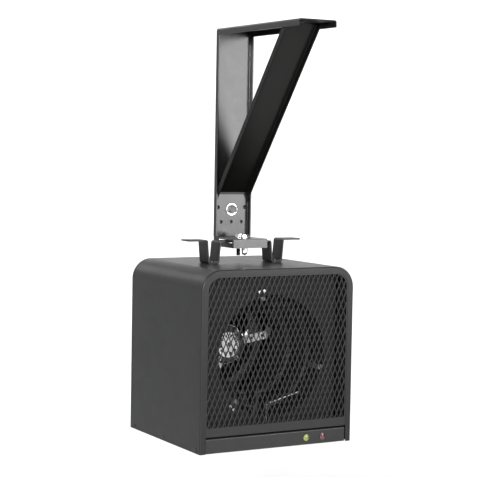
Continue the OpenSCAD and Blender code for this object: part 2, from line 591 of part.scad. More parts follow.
module motor_arms() color([0.8, 0.8, 0.8]) in_heater() {
    for (a = [9, 129, 249]) translate([0, 0, az]) rotate([0, -a, 0]) difference() {
        union() {
            // straight to r 93, then bent back to a tab on the duct's wall
            translate([0, motor_y, -8]) linear_extrude(height = 16)
                polygon(strip([[39, 13.4], [93, 13.4], [duct_r - 0.8, duct_r - 80.4], [duct_r - 0.8, 50.5]], -2));
        }
        translate([duct_r - 10, motor_y + 45.5, 0]) rotate([0, 90, 0]) cylinder(r = 2.1, h = 20);
        ycyl(60, motor_y + 5, 0, 3, 20);
        ycyl(85, motor_y + 5, 0, 3, 20);
    }
    difference() {
        ycyl(0, motor_y + 13, az, 39.7, 14);
        ycyl(0, motor_y + 10, az, 38.1, 20);
    }
}
module arm_screws() color([0.8, 0.8, 0.8]) in_heater() for (a = [9, 129, 249])
    translate([0, motor_y + 45.5, az]) rotate([0, -a, 0]) union() {
        translate([duct_r - 7, 0, 0]) rotate([0, 90, 0]) cylinder(r = 2, h = 14);
        translate([duct_r - 5.2, 0, 0]) rotate([0, 90, 0]) cylinder(r = 4, h = 2.4);
    }
module motor_rotor() color([0.6, 0.6, 0.6]) in_heater() difference() {
    ycyl(0, motor_y + 17, az, 20.2, 28);
    ycyl(0, motor_y + 10, az, 4.04, 50);
}
module motor_shaft() color([0.75, 0.75, 0.75]) in_heater() ycyl(0, motor_y + 7, az, 4, fan_y + 14 - motor_y - 7);
blade_c = min(96, 500 / fan_blades_n - 4, 32 / sin(fan_pitch));   // chord of a blade
module fan_blades() color([0.2, 0.2, 0.2]) in_heater() difference() {
    translate([0, fan_y, az]) union() {
        ycyl(0, -13, 0, 24, 26);
        intersection() {
            ycyl(0, -20, 0, fan_r, 40);
            for (i = [0 : fan_blades_n - 1]) rotate([0, 360 / fan_blades_n * i + 36, 0])
                translate([22, 0, 0]) rotate([fan_pitch, 0, 0]) translate([0, -0.8, -blade_c / 2]) cube([fan_r, 1.6, blade_c]);
        }
    }
    ycyl(0, fan_y - 14, az, 20, 20);
    ycyl(0, fan_y - 20, az, 4.04, 40);
}
module fan_hub_screw() color([0.2, 0.2, 0.2]) in_heater() difference() {
    ycyl(0, fan_y + 13, az, 7, 3.5);
    ycyl(0, fan_y, az, 4, 14.2);
}
module fan_shroud() color([0.2, 0.2, 0.2]) in_heater() difference() {
    union() {
        ycyl(0, duct_back + 4, az, shroud_r + 1.2, by - 2 * sheet_t - duct_back - 4);
        ycyl(0, by - 2 * sheet_t - 1.2, az, shroud_r + 13, 1.2);
    }
    ycyl(0, 0, az, shroud_r, 300);
    for (a = [45 : 90 : 315]) ycyl(111 * cos(a), by - 10, az + 111 * sin(a), 1.7, 20);
}
module rear_guard() color([0.5, 0.5, 0.5]) in_heater() {
    for (r = [25 : 14 : 109]) translate([0, by + 2.4, az]) rotate([90, 0, 0]) rotate_extrude() translate([r, 0]) circle(r = 1.2);
    translate([0, 0, az]) union() {
        for (a = [22.5 : 45 : 337.5]) rotate([0, -a, 0]) translate([13, by + 4.95, 0]) rotate([0, 90, 0]) cylinder(r = 1.3, h = 97.5);
        ycyl(0, by + 3.65, 0, 15, 2.6);
    }
}
module guard_screws() color([0.3, 0.3, 0.3]) in_heater() for (a = [45 : 90 : 315])
    translate([111 * cos(a), 0, az + 111 * sin(a)]) union() {
        ycyl(0, by - 8, 0, 1.6, 8);
        ycyl(0, by - sheet_t, 0, 3.4, 1.7);
    }

ceiling_arm();
arm_brace();
brace_rivets();
swivel_tray();
tray_bolt();
tray_washer();
tray_nut();
pivot_bolt();
pivot_nut();
friction_washer();
hanger_strap();
strap_screws();
strap_nuts();
lock_bolt();
lock_nut();
cabinet_shell();
base_pan();
rear_panel();
cabinet_screws();
front_frame();
mesh_grille();
control_panel();
partition_shelf();
power_lamp();
heat_lamp();
lamp_bodies();
orifice_plate();
orifice_screws();
air_duct();
heating_element_front();
heating_element_rear();
element_fins();
element_brackets();
terminal_bushings();
thermostat_bulb();
thermostat_body();
thermostat_knob();
limit_switch();
terminal_block();
lead_wires();
cable_gland();
gland_nut();
motor_shell();
motor_front_bell();
motor_rear_bell();
motor_stator();
motor_bolts();
motor_bearings();
motor_arms();
arm_screws();
motor_rotor();
motor_shaft();
fan_blades();
fan_hub_screw();
fan_shroud();
rear_guard();
guard_screws();
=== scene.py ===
import json
from math import asin, atan2, cos, pi, radians, sin, sqrt, tan

import bmesh
import bpy
from mathutils import Matrix, Vector

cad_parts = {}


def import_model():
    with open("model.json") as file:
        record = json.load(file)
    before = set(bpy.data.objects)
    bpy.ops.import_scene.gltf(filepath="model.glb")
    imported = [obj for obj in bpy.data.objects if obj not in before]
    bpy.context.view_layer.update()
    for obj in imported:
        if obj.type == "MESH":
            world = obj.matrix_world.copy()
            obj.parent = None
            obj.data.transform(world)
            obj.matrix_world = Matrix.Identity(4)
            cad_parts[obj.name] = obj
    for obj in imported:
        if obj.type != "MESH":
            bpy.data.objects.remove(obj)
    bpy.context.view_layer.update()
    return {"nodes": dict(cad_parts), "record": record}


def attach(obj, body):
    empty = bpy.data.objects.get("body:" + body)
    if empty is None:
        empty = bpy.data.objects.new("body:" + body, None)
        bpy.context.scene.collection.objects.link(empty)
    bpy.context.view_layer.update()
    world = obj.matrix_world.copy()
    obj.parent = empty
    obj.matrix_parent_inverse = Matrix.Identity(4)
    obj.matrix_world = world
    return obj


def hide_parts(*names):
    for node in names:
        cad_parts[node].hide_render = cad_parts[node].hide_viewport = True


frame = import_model()
REC = frame["record"]
NODES = frame["nodes"]
BODY = {n: b for b, l in REC["behaviour"]["bodies"].items() for n in l}
scene = bpy.context.scene

# The shapes are built in millimetres and scaled to metres at the end.
# HY and HZ are the place of the heater's own origin, the middle of its flat top.
HY, HZ = 121.0, -456.0
CW, CD, CH, CR = 330.0, 302.0, 340.0, 40.0
FY, BY, HX = -CD / 2, CD / 2, CW / 2
AZ = -169.0
SHELF = -CH + 31.0
POST = 167.0
TRAY = -408.0


# ------------------------------------------------------------------ mesh tools
def obj_from(bm, name):
    bmesh.ops.recalc_face_normals(bm, faces=bm.faces)
    me = bpy.data.meshes.new(name)
    bm.to_mesh(me)
    bm.free()
    ob = bpy.data.objects.new(name, me)
    scene.collection.objects.link(ob)
    return ob


def apply_mods(ob):
    dg = bpy.context.evaluated_depsgraph_get()
    me = bpy.data.meshes.new_from_object(ob.evaluated_get(dg), preserve_all_data_layers=True, depsgraph=dg)
    old = ob.data
    ob.modifiers.clear()
    ob.data = me
    bpy.data.meshes.remove(old)


def cut(ob, bm, op="DIFFERENCE"):
    c = obj_from(bm, "tmp_cut")
    m = ob.modifiers.new("b", "BOOLEAN")
    m.operation, m.object, m.solver = op, c, "EXACT"
    apply_mods(ob)
    me = c.data
    bpy.data.objects.remove(c)
    bpy.data.meshes.remove(me)
    return ob


def tidy(ob, merge=0.002, flat=0.6):
    bm = bmesh.new()
    bm.from_mesh(ob.data)
    bmesh.ops.remove_doubles(bm, verts=bm.verts, dist=merge)
    bmesh.ops.dissolve_limit(bm, angle_limit=radians(flat), verts=bm.verts, edges=bm.edges)
    bmesh.ops.dissolve_degenerate(bm, dist=merge, edges=bm.edges)
    bm.to_mesh(ob.data)
    bm.free()
    return ob


def bevel(ob, width, seg=2, angle=38):
    m = ob.modifiers.new("v", "BEVEL")
    m.limit_method, m.angle_limit = "ANGLE", radians(angle)
    m.width, m.segments, m.use_clamp_overlap = width, seg, True
    apply_mods(ob)
    return ob


def done(ob, mat, like=None, body=None, reps=(), smooth=36, weighted=True):
    """Metres, shading, material, body, and the CAD nodes that the piece stands for."""
    ob.data.transform(Matrix.Scale(0.001, 4))
    ob.data.polygons.foreach_set("use_smooth", [True] * len(ob.data.polygons))
    ob.data.set_sharp_from_angle(angle=radians(smooth))
    if weighted:
        m = ob.modifiers.new("w", "WEIGHTED_NORMAL")
        m.mode, m.weight, m.keep_sharp = "FACE_AREA", 50, True
        apply_mods(ob)
    idx = [f.material_index for f in ob.data.polygons]
    ob.data.materials.clear()
    for x in mat if isinstance(mat, (list, tuple)) else [mat]:
        ob.data.materials.append(x)
    if isinstance(mat, (list, tuple)):
        ob.data.polygons.foreach_set("material_index", idx)
    reps = list(reps) or ([like] if like else [])
    first = like or (reps[0] if reps else None)
    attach(ob, body or BODY[first])
    if reps:
        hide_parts(*reps)
    return ob


def join_with_painted_shade(obs, name, mats, like):
    """Joins pieces, each with its own material index; the pivot bolt's dark tail is painted shade."""
    for i, o in enumerate(obs):
        o.data.polygons.foreach_set("material_index", [i] * len(o.data.polygons))
    done(join(obs, name), mats, like, smooth=28)


def at_heater(ob):
    ob.data.transform(Matrix.Translation((0, HY, HZ)))
    return ob


def box(bm, a, b):
    vs = [bm.verts.new((x, y, z)) for x in (a[0], b[0]) for y in (a[1], b[1]) for z in (a[2], b[2])]
    for f in ((0, 1, 3, 2), (4, 6, 7, 5), (0, 4, 5, 1), (2, 3, 7, 6), (0, 2, 6, 4), (1, 5, 7, 3)):
        bm.faces.new([vs[i] for i in f])
    return vs


def prism(bm, poly, axis, lo, hi):
    """Closed outline pushed along an axis. The outline is in the other two axes, in x, y, z order."""
    def at(p, h):
        return {"x": (h, p[0], p[1]), "y": (p[0], h, p[1]), "z": (p[0], p[1], h)}[axis]
    a = [bm.verts.new(at(p, lo)) for p in poly]
    b = [bm.verts.new(at(p, hi)) for p in poly]
    n = len(poly)
    bm.faces.new(a)
    bm.faces.new(b[::-1])
    for i in range(n):
        bm.faces.new((a[i], b[i], b[(i + 1) % n], a[(i + 1) % n]))


def frame_of(d):
    d = Vector(d).normalized()
    u = d.orthogonal().normalized()
    return u, d.cross(u), d


def lathe(bm, prof, at, axis=(0, 1, 0), n=48, wave=None, start=None):
    """Turned shape. prof runs (radius, height) from one end of the axis to the other; a closed ring repeats no point."""
    d = Vector(axis).normalized()
    u = (Vector(start) if start else d.orthogonal()).normalized()
    w = d.cross(u)
    at = Vector(at)
    rings = []
    for r, h in prof:
        if r < 1e-6:
            rings.append([bm.verts.new(at + d * h)])
        else:
            ring = []
            for k in range(n):
                t = 2 * pi * k / n
                rr = r if wave is None else wave(r, h, t)
                ring.append(bm.verts.new(at + d * h + u * (rr * cos(t)) + w * (rr * sin(t))))
            rings.append(ring)
    closed = len(rings[0]) > 1 and len(rings[-1]) > 1
    pairs = list(zip(rings, rings[1:])) + ([(rings[-1], rings[0])] if closed else [])
    for a, b in pairs:
        for k in range(n):
            j = (k + 1) % n
            if len(a) == 1 and len(b) == 1:
                continue
            if len(a) == 1:
                bm.faces.new((a[0], b[k], b[j]))
            elif len(b) == 1:
                bm.faces.new((a[k], a[j], b[0]))
            else:
                bm.faces.new((a[k], a[j], b[j], b[k]))


def cyl(bm, at, axis, r, l, n=32):
    lathe(bm, [(0, 0), (r, 0), (r, l), (0, l)], at, axis, n)


def hex_head(bm, at, axis, af, h, start, r_in=None, deep=0.0, both=False):
    """Hexagon with chamfered corners. r_in gives it a bore, open at the far face; deep is not used."""
    d = Vector(axis).normalized()
    u = Vector(start).normalized()
    w = d.cross(u)
    at = Vector(at)
    n = 48
    top, side, low, foot = [], [], [], []
    rc = 0.475 * af
    for k in range(n):
        t = 2 * pi * k / n
        m = (t % (pi / 3)) - pi / 6
        r = af / 2 / cos(m)
        r = min(r, af / sqrt(3) - 0.12)
        drop = max(0.0, r - rc) * tan(radians(30))
        e = u * cos(t) + w * sin(t)
        top.append(bm.verts.new(at + d * h + e * rc))
        side.append(bm.verts.new(at + d * (h - drop) + e * r))
        low.append(bm.verts.new(at + d * (drop if both else 0) + e * r))
        foot.append(bm.verts.new(at + e * rc))
    for k in range(n):
        j = (k + 1) % n
        bm.faces.new((side[k], side[j], top[j], top[k]))
        bm.faces.new((low[k], low[j], side[j], side[k]))
        bm.faces.new((foot[k], foot[j], low[j], low[k]))
    if r_in:
        it, ib = [], []
        for k in range(n):
            t = 2 * pi * k / n
            e = u * cos(t) + w * sin(t)
            it.append(bm.verts.new(at + d * h + e * (r_in + 0.5)))
            ib.append(bm.verts.new(at + d * (h - 0.6) + e * r_in))
        io = [bm.verts.new(at + (u * cos(2 * pi * k / n) + w * sin(2 * pi * k / n)) * r_in) for k in range(n)]
        for k in range(n):
            j = (k + 1) % n
            bm.faces.new((top[k], top[j], it[j], it[k]))
            bm.faces.new((it[k], it[j], ib[j], ib[k]))
            bm.faces.new((ib[k], ib[j], io[j], io[k]))
            bm.faces.new((io[k], io[j], foot[j], foot[k]))
    else:
        # a shallow dished top face
        mid = [bm.verts.new(at + d * (h - 0.25) + (u * cos(2 * pi * k / n) + w * sin(2 * pi * k / n)) * (rc * 0.8)) for k in range(n)]
        c = bm.verts.new(at + d * (h - 0.25))
        f = bm.verts.new(at)
        for k in range(n):
            j = (k + 1) % n
            bm.faces.new((top[k], top[j], mid[j], mid[k]))
            bm.faces.new((mid[k], mid[j], c))
            bm.faces.new((foot[j], foot[k], f))


def thread(bm, at, axis, r, l, pitch, n=24, tip=0.8):
    """Screw thread from at, l long, with a chamfered tip."""
    d = Vector(axis).normalized()
    u, w, _ = frame_of(d)
    at = Vector(at)
    depth = pitch * 0.5
    rows = []
    steps = max(2, int(round(l / pitch * 6)))
    for i in range(steps + 1):
        h = l * i / steps
        ring = []
        for k in range(n):
            t = 2 * pi * k / n
            ph = (h / pitch - t / (2 * pi)) % 1.0
            tri = abs(2 * ph - 1)
            rr = r - depth * (1 - tri)
            rr = min(rr, r - max(0.0, h - (l - tip)) * 0.9)
            ring.append(bm.verts.new(at + d * h + u * (rr * cos(t)) + w * (rr * sin(t))))
        rows.append(ring)
    for a, b in zip(rows, rows[1:]):
        for k in range(n):
            j = (k + 1) % n
            bm.faces.new((a[k], a[j], b[j], b[k]))
    for ring, h, flip in ((rows[0], 0, True), (rows[-1], l, False)):
        c = bm.verts.new(at + d * h)
        for k in range(n):
            j = (k + 1) % n
            bm.faces.new((ring[j], ring[k], c) if flip else (ring[k], ring[j], c))


def pan_screw(at, axis, rh, h, turn=0.0):
    """Cross recessed pan head as its own small object, joined by the caller."""
    bm = bmesh.new()
    prof = [(0, 0), (rh, 0), (rh, h * 0.25)]
    for k in range(1, 7):
        a = radians(15 * k)
        prof.append((rh * (0.62 + 0.38 * cos(a)), h * (0.25 + 0.75 * sin(a))))
    prof.append((0, h))
    u, w, d = frame_of(axis)
    lathe(bm, prof, at, axis, 40)
    ob = obj_from(bm, "tmp_screw")
    bm = bmesh.new()
    for s in (0, 90):
        t = radians(turn + s)
        e, g = u * cos(t) + w * sin(t), u * -sin(t) + w * cos(t)
        vs = []
        for hh, ln in ((h + 0.5, rh * 0.62), (h * 0.45, rh * 0.34)):
            for a, b in ((1, 1), (-1, 1), (-1, -1), (1, -1)):
                vs.append(bm.verts.new(Vector(at) + d * hh + e * (a * ln) + g * (b * rh * 0.12)))
        bm.faces.new(vs[0:4])
        bm.faces.new(vs[4:8][::-1])
        for k in range(4):
            j = (k + 1) % 4
            bm.faces.new((vs[k], vs[4 + k], vs[4 + j], vs[j]))
        if s == 0:
            cut(ob, bm)
            bm = bmesh.new()
    cut(ob, bm)
    return ob


def join(obs, name):
    bm = bmesh.new()
    for o in obs:
        bm.from_mesh(o.data)
        me = o.data
        bpy.data.objects.remove(o)
        bpy.data.meshes.remove(me)
    return obj_from(bm, name)


def fillet(pts, radii, n=6):
    """Open run of points with its corners rounded."""
    out = [Vector(pts[0])]
    for i in range(1, len(pts) - 1):
        p, a, b = Vector(pts[i]), Vector(pts[i - 1]), Vector(pts[i + 1])
        r = radii[i]
        if r < 1e-6:
            out.append(p)
            continue
        da, db = (a - p).normalized(), (b - p).normalized()
        ang = da.angle(db)
        cut_len = r / tan(ang / 2)
        c = p + (da + db).normalized() * (r / sin(ang / 2))
        s, e = p + da * cut_len - c, p + db * cut_len - c
        sweep = pi - ang
        for k in range(n + 1):
            t = k / n
            v = s * (sin((1 - t) * sweep) / sin(sweep)) + e * (sin(t * sweep) / sin(sweep))
            out.append(c + v)
    out.append(Vector(pts[-1]))
    return out


def bent(pts, t, r, n=6):
    """Outline of a sheet t thick on the right hand side of pts, every bend with inner radius r."""
    P = [Vector(p) for p in pts]
    Q = []
    def nrm(a, b):
        d = (b - a).normalized()
        return Vector((d.y, -d.x))
    m = len(P)
    for i in range(m):
        if i == 0:
            Q.append(P[0] + nrm(P[0], P[1]) * t)
        elif i == m - 1:
            Q.append(P[-1] + nrm(P[-2], P[-1]) * t)
        else:
            n1, n2 = nrm(P[i - 1], P[i]), nrm(P[i], P[i + 1])
            mm = (n1 + n2).normalized()
            Q.append(P[i] + mm * (t / mm.dot(n1)))
    rp, rq = [0.0] * m, [0.0] * m
    for i in range(1, m - 1):
        a, b = P[i] - P[i - 1], P[i + 1] - P[i]
        right_turn = a.x * b.y - a.y * b.x < 0
        rp[i] = r + t if right_turn else r
        rq[i] = r if right_turn else r + t
        if not right_turn:
            rp[i], rq[i] = r, r + t
    return fillet(P, rp, n) + fillet(Q, rq, n)[::-1]


def sweep_tube(bm, pts, radii, n=16):
    pts = [Vector(p) for p in pts]
    m = len(pts)
    t0 = (pts[1] - pts[0]).normalized()
    u = t0.orthogonal().normalized()
    rows = []
    for i in range(m):
        t = (pts[min(i + 1, m - 1)] - pts[max(i - 1, 0)]).normalized()
        u = (u - t * u.dot(t)).normalized()
        w = t.cross(u)
        rows.append([bm.verts.new(pts[i] + (u * cos(2 * pi * k / n) + w * sin(2 * pi * k / n)) * radii[i]) for k in range(n)])
    for a, b in zip(rows, rows[1:]):
        for k in range(n):
            j = (k + 1) % n
            bm.faces.new((a[k], a[j], b[j], b[k]))
    bm.faces.new(rows[0][::-1])
    bm.faces.new(rows[-1])


def refine(node, mat, w=0.4, seg=2, angle=38, flat=0.8):
    """The CAD node's own shape, with its sharp sheet edges broken."""
    bm = bmesh.new()
    bm.from_mesh(NODES[node].data)
    bm.transform(Matrix.Scale(1000, 4))
    bmesh.ops.remove_doubles(bm, verts=bm.verts, dist=0.002)
    bmesh.ops.dissolve_limit(bm, angle_limit=radians(flat), verts=bm.verts, edges=bm.edges)
    ob = obj_from(bm, "v_" + node)
    bevel(ob, w, seg, angle)
    return done(ob, mat, node)


def keep(node, mat):
    o = NODES[node]
    o.data.materials.clear()
    o.data.materials.append(mat)


# ------------------------------------------------------------------ materials
def tree(name):
    m = bpy.data.materials.new(name)
    m.use_nodes = True
    nt = m.node_tree
    nt.nodes.clear()
    out = nt.nodes.new("ShaderNodeOutputMaterial")
    b = nt.nodes.new("ShaderNodeBsdfPrincipled")
    nt.links.new(b.outputs[0], out.inputs[0])
    tc = nt.nodes.new("ShaderNodeTexCoord")
    return m, nt, b, tc.outputs["Object"]


def noise(nt, co, scale, detail=3.0, rough=0.55, stretch=None, dist=0.0):
    if stretch:
        mp = nt.nodes.new("ShaderNodeMapping")
        mp.inputs["Scale"].default_value = stretch
        nt.links.new(co, mp.inputs["Vector"])
        co = mp.outputs[0]
    n = nt.nodes.new("ShaderNodeTexNoise")
    n.inputs["Scale"].default_value = scale
    n.inputs["Detail"].default_value = detail
    n.inputs["Roughness"].default_value = rough
    n.inputs["Distortion"].default_value = dist
    nt.links.new(co, n.inputs["Vector"])
    return n.outputs["Fac"]


def span(nt, v, a, b, c, d):
    n = nt.nodes.new("ShaderNodeMapRange")
    n.inputs["From Min"].default_value, n.inputs["From Max"].default_value = a, b
    n.inputs["To Min"].default_value, n.inputs["To Max"].default_value = c, d
    nt.links.new(v, n.inputs["Value"])
    return n.outputs[0]


def mix(nt, f, a, b):
    n = nt.nodes.new("ShaderNodeMix")
    n.data_type = "RGBA"
    nt.links.new(f, n.inputs[0])
    for s, c in ((n.inputs[6], a), (n.inputs[7], b)):
        if isinstance(c, tuple):
            s.default_value = (*c, 1)
        else:
            nt.links.new(c, s)
    return n.outputs[2]


def add(nt, a, b, op="ADD"):
    n = nt.nodes.new("ShaderNodeMath")
    n.operation = op
    for s, v in zip(n.inputs, (a, b)):
        if isinstance(v, (int, float)):
            s.default_value = v
        else:
            nt.links.new(v, s)
    return n.outputs[0]


def bump(nt, b, h, dist, strength=1.0):
    n = nt.nodes.new("ShaderNodeBump")
    n.inputs["Distance"].default_value = dist
    n.inputs["Strength"].default_value = strength
    nt.links.new(h, n.inputs["Height"])
    nt.links.new(n.outputs[0], b.inputs["Normal"])


def shade(c, k):
    return tuple(max(0.0, min(1.0, x * k)) for x in c)


def coat(name, c, rough=(0.36, 0.46), spec=0.5, peel=1.0, var=0.1, worn=0.0):
    """Powder coat: orange peel, a little unevenness in gloss, and fine handling marks."""
    m, nt, b, co = tree(name)
    big = noise(nt, co, 7.0, 4)
    mid = noise(nt, co, 160.0, 3)
    fine = noise(nt, co, 1500.0, 2)
    rub = noise(nt, co, 34.0, 6, 0.7, dist=0.6)
    f = add(nt, span(nt, big, 0.3, 0.7, 0, 0.7), span(nt, mid, 0.3, 0.7, 0, 0.3))
    nt.links.new(mix(nt, f, shade(c, 1 - var), shade(c, 1 + var)), b.inputs["Base Color"])
    r = add(nt, span(nt, rub, 0.3, 0.7, rough[0], rough[1]), span(nt, fine, 0.3, 0.7, -0.02, 0.03))
    nt.links.new(r, b.inputs["Roughness"])
    b.inputs["Specular IOR Level"].default_value = spec
    peel_n = noise(nt, co, 620.0, 1, 0.4)
    bump(nt, b, peel_n, 0.00003 * peel)
    return m


def metal(name, c, rough=(0.22, 0.4), grain=(1, 1, 1), scale=300.0, var=0.12, peel=1.0, metallic=1.0):
    m, nt, b, co = tree(name)
    a = noise(nt, co, scale, 4, 0.6, grain)
    big = noise(nt, co, 45.0, 4)
    f = add(nt, span(nt, a, 0.25, 0.75, 0, 0.5), span(nt, big, 0.3, 0.7, 0, 0.5))
    nt.links.new(mix(nt, f, shade(c, 1 - var), shade(c, 1 + var)), b.inputs["Base Color"])
    nt.links.new(span(nt, f, 0.2, 0.8, rough[0], rough[1]), b.inputs["Roughness"])
    b.inputs["Metallic"].default_value = metallic
    bump(nt, b, a, 0.00003 * peel)
    return m


def plastic(name, c, rough=(0.4, 0.55), grain=900.0, peel=1.0, spec=0.5, var=0.08):
    m, nt, b, co = tree(name)
    a = noise(nt, co, grain, 2)
    big = noise(nt, co, 30.0, 3)
    nt.links.new(mix(nt, span(nt, big, 0.3, 0.7, 0, 1), shade(c, 1 - var), shade(c, 1 + var)), b.inputs["Base Color"])
    nt.links.new(span(nt, a, 0.25, 0.75, rough[0], rough[1]), b.inputs["Roughness"])
    b.inputs["Specular IOR Level"].default_value = spec
    bump(nt, b, a, 0.00004 * peel)
    return m


def lens(name, c, deep, glow):
    """Moulded indicator lens: prismatic inside, clear and glossy outside."""
    m, nt, b, co = tree(name)
    v = nt.nodes.new("ShaderNodeTexVoronoi")
    v.inputs["Scale"].default_value = 950.0
    nt.links.new(co, v.inputs["Vector"])
    n = noise(nt, co, 240.0, 2)
    f = add(nt, span(nt, v.outputs["Distance"], 0.0, 0.7, 0, 0.6), span(nt, n, 0.35, 0.65, 0, 0.4))
    col = mix(nt, f, deep, c)
    nt.links.new(col, b.inputs["Base Color"])
    nt.links.new(col, b.inputs["Emission Color"])
    nt.links.new(span(nt, f, 0, 1, 0.10, 0.20), b.inputs["Roughness"])
    b.inputs["Emission Strength"].default_value = glow
    b.inputs["Coat Weight"].default_value = 0.6
    b.inputs["Coat Roughness"].default_value = 0.04
    bump(nt, b, v.outputs["Distance"], 0.0002)
    return m


def heated(name):
    """Sheathed element and fins: dark oxide with brown and blue heat tints."""
    m, nt, b, co = tree(name)
    a = noise(nt, co, 60.0, 4)
    s = noise(nt, co, 700.0, 3)
    c1 = mix(nt, span(nt, a, 0.35, 0.65, 0, 1), (0.010, 0.0093, 0.0086), (0.018, 0.0155, 0.0135))
    c2 = mix(nt, span(nt, s, 0.45, 0.7, 0, 0.6), c1, (0.016, 0.017, 0.020))
    nt.links.new(c2, b.inputs["Base Color"])
    nt.links.new(span(nt, s, 0.3, 0.7, 0.45, 0.7), b.inputs["Roughness"])
    b.inputs["Metallic"].default_value = 0.3
    bump(nt, b, s, 0.00004)
    return m


M = {
    "bracket": coat("bracket_coat", (0.0034, 0.0034, 0.0033), (0.27, 0.31), 0.46, 0.2),
    # the brace gets a darker, less glossy copy of the bracket coat: painted shade on its down-facing web
    "brace": coat("brace_shaded_coat", (0.0017, 0.0017, 0.0015), (0.30, 0.36), 0.17, 0.6),
    "strap": coat("strap_coat", (0.0037, 0.0037, 0.0037), (0.36, 0.44), 0.28, 1.0),
    "tray": coat("tray_coat", (0.0055, 0.0055, 0.0055), (0.27, 0.33), 0.55, 0.2),
    "cabinet": coat("cabinet_coat", (0.0088, 0.0089, 0.0092), (0.36, 0.43), 0.20, 0.8),
    # the panel gets a lighter copy of the cabinet coat: painted light, its own tone being the cabinet's
    "panel": coat("panel_lit_coat", (0.0118, 0.0119, 0.0122), (0.30, 0.36), 0.3, 0.8),
    "cut_edge": coat("cut_edge", (0.005, 0.005, 0.0049), (0.6, 0.75), 0.06, 0.4),
    "frame": coat("frame_coat", (0.0064, 0.0065, 0.0066), (0.40, 0.5), 0.3, 1.0),
    "mesh": coat("mesh_coat", (0.0078, 0.0079, 0.0081), (0.44, 0.54), 0.14, 1.0),
    # the orifice plate and shelf get a darker copy of the coat: painted shade behind the mesh
    "inner": coat("inner_shaded_coat", (0.0050, 0.0051, 0.0052), (0.55, 0.66), 0.16, 1.2),
    "duct": coat("duct_coat", (0.0034, 0.0034, 0.0034), (0.55, 0.7), 0.25, 1.2),
    "fan": coat("fan_coat", (0.0040, 0.0040, 0.0041), (0.45, 0.6), 0.3, 1.2),
    "dark_bell_and_groove_shade": metal("dark_bell_and_groove_shade", (0.035, 0.035, 0.035), (0.4, 0.55), (1, 1, 1), 520.0, 0.2, 2.0, 0.7),
    "zinc": metal("zinc", (0.66, 0.67, 0.69), (0.2, 0.38), (1, 1, 1), 420.0, 0.14),
    "plate_zinc": metal("plate_zinc", (0.80, 0.81, 0.82), (0.35, 0.5), (1, 1, 1), 300.0, 0.12, 1.0, 0.25),
    "dull_and_shade": metal("dull_steel", (0.028, 0.028, 0.028), (0.4, 0.6), (1, 1, 1), 380.0, 0.3, 1.0, 0.6),
    "bolt_mid": metal("bolt_mid", (0.42, 0.42, 0.43), (0.3, 0.45), (1, 1, 1), 380.0, 0.25),
    "grey_bolt": metal("grey_bolt", (0.065, 0.065, 0.067), (0.34, 0.5), (1, 1, 1), 380.0, 0.35),
    "black_screw": metal("black_screw", (0.03, 0.03, 0.032), (0.35, 0.5), (1, 1, 1), 380.0, 0.2, 1.0, 0.8),
    "alloy": metal("alloy", (0.80, 0.80, 0.82), (0.30, 0.46), (1, 1, 1), 520.0, 0.12, 2.0, 0.75),
    "ground": metal("ground", (0.45, 0.45, 0.46), (0.2, 0.34), (1, 14, 1), 160.0, 0.1),
    "sheetm": metal("sheetm", (0.10, 0.10, 0.10), (0.4, 0.55), (1, 1, 1), 120.0, 0.2, 1.0, 0.7),
    "nickel": metal("nickel", (0.30, 0.29, 0.28), (0.2, 0.34), (1, 1, 1), 260.0, 0.08),
    "bulb": metal("bulb_metal", (0.17, 0.165, 0.155), (0.26, 0.40), (1, 1, 1), 260.0, 0.08),
    "bronze": metal("bronze", (0.40, 0.29, 0.16), (0.3, 0.45), (1, 1, 1), 500.0, 0.12),
    "element": heated("element_steel"),
    "ceramic": plastic("ceramic_white", (0.82, 0.80, 0.73), (0.12, 0.25), 300.0, 0.6),
    "stator": metal("stator_dark", (0.14, 0.07, 0.045), (0.4, 0.6), (1, 40, 1), 60.0, 0.3, 2.0, 0.5),
    "black": plastic("black_plastic", (0.020, 0.020, 0.021), (0.36, 0.5), 1100.0),
    "wire": plastic("wire_black", (0.02, 0.02, 0.02), (0.3, 0.42), 400.0),
    "fibre": plastic("fibre", (0.14, 0.12, 0.09), (0.7, 0.85), 600.0, 2.0, 0.2),
    "ivory": plastic("ivory_plastic", (0.78, 0.75, 0.66), (0.25, 0.4), 500.0),
    "mark": plastic("knob_mark", (0.80, 0.80, 0.78), (0.4, 0.5), 500.0),
    "green": lens("lamp_green", (0.13, 0.155, 0.013), (0.035, 0.045, 0.005), 0.0),
    "red": lens("lamp_red", (0.052, 0.0026, 0.007), (0.02, 0.0015, 0.003), 0.0),
}


# ------------------------------------------------------------------ bracket
def arm_section(w, q, t, ro, ri, n=6):
    """Channel section as points (x, depth from the outer face), closed, web at depth 0."""
    h = w / 2
    out = fillet([(-h, q), (-h, 0), (h, 0), (h, q)], [0, ro, ro, 0], n)
    inn = fillet([(h - t, q), (h - t, t), (-h + t, t), (-h + t, q)], [0, ri, ri, 0], n)
    return [(p.x, p.y) for p in out + inn]


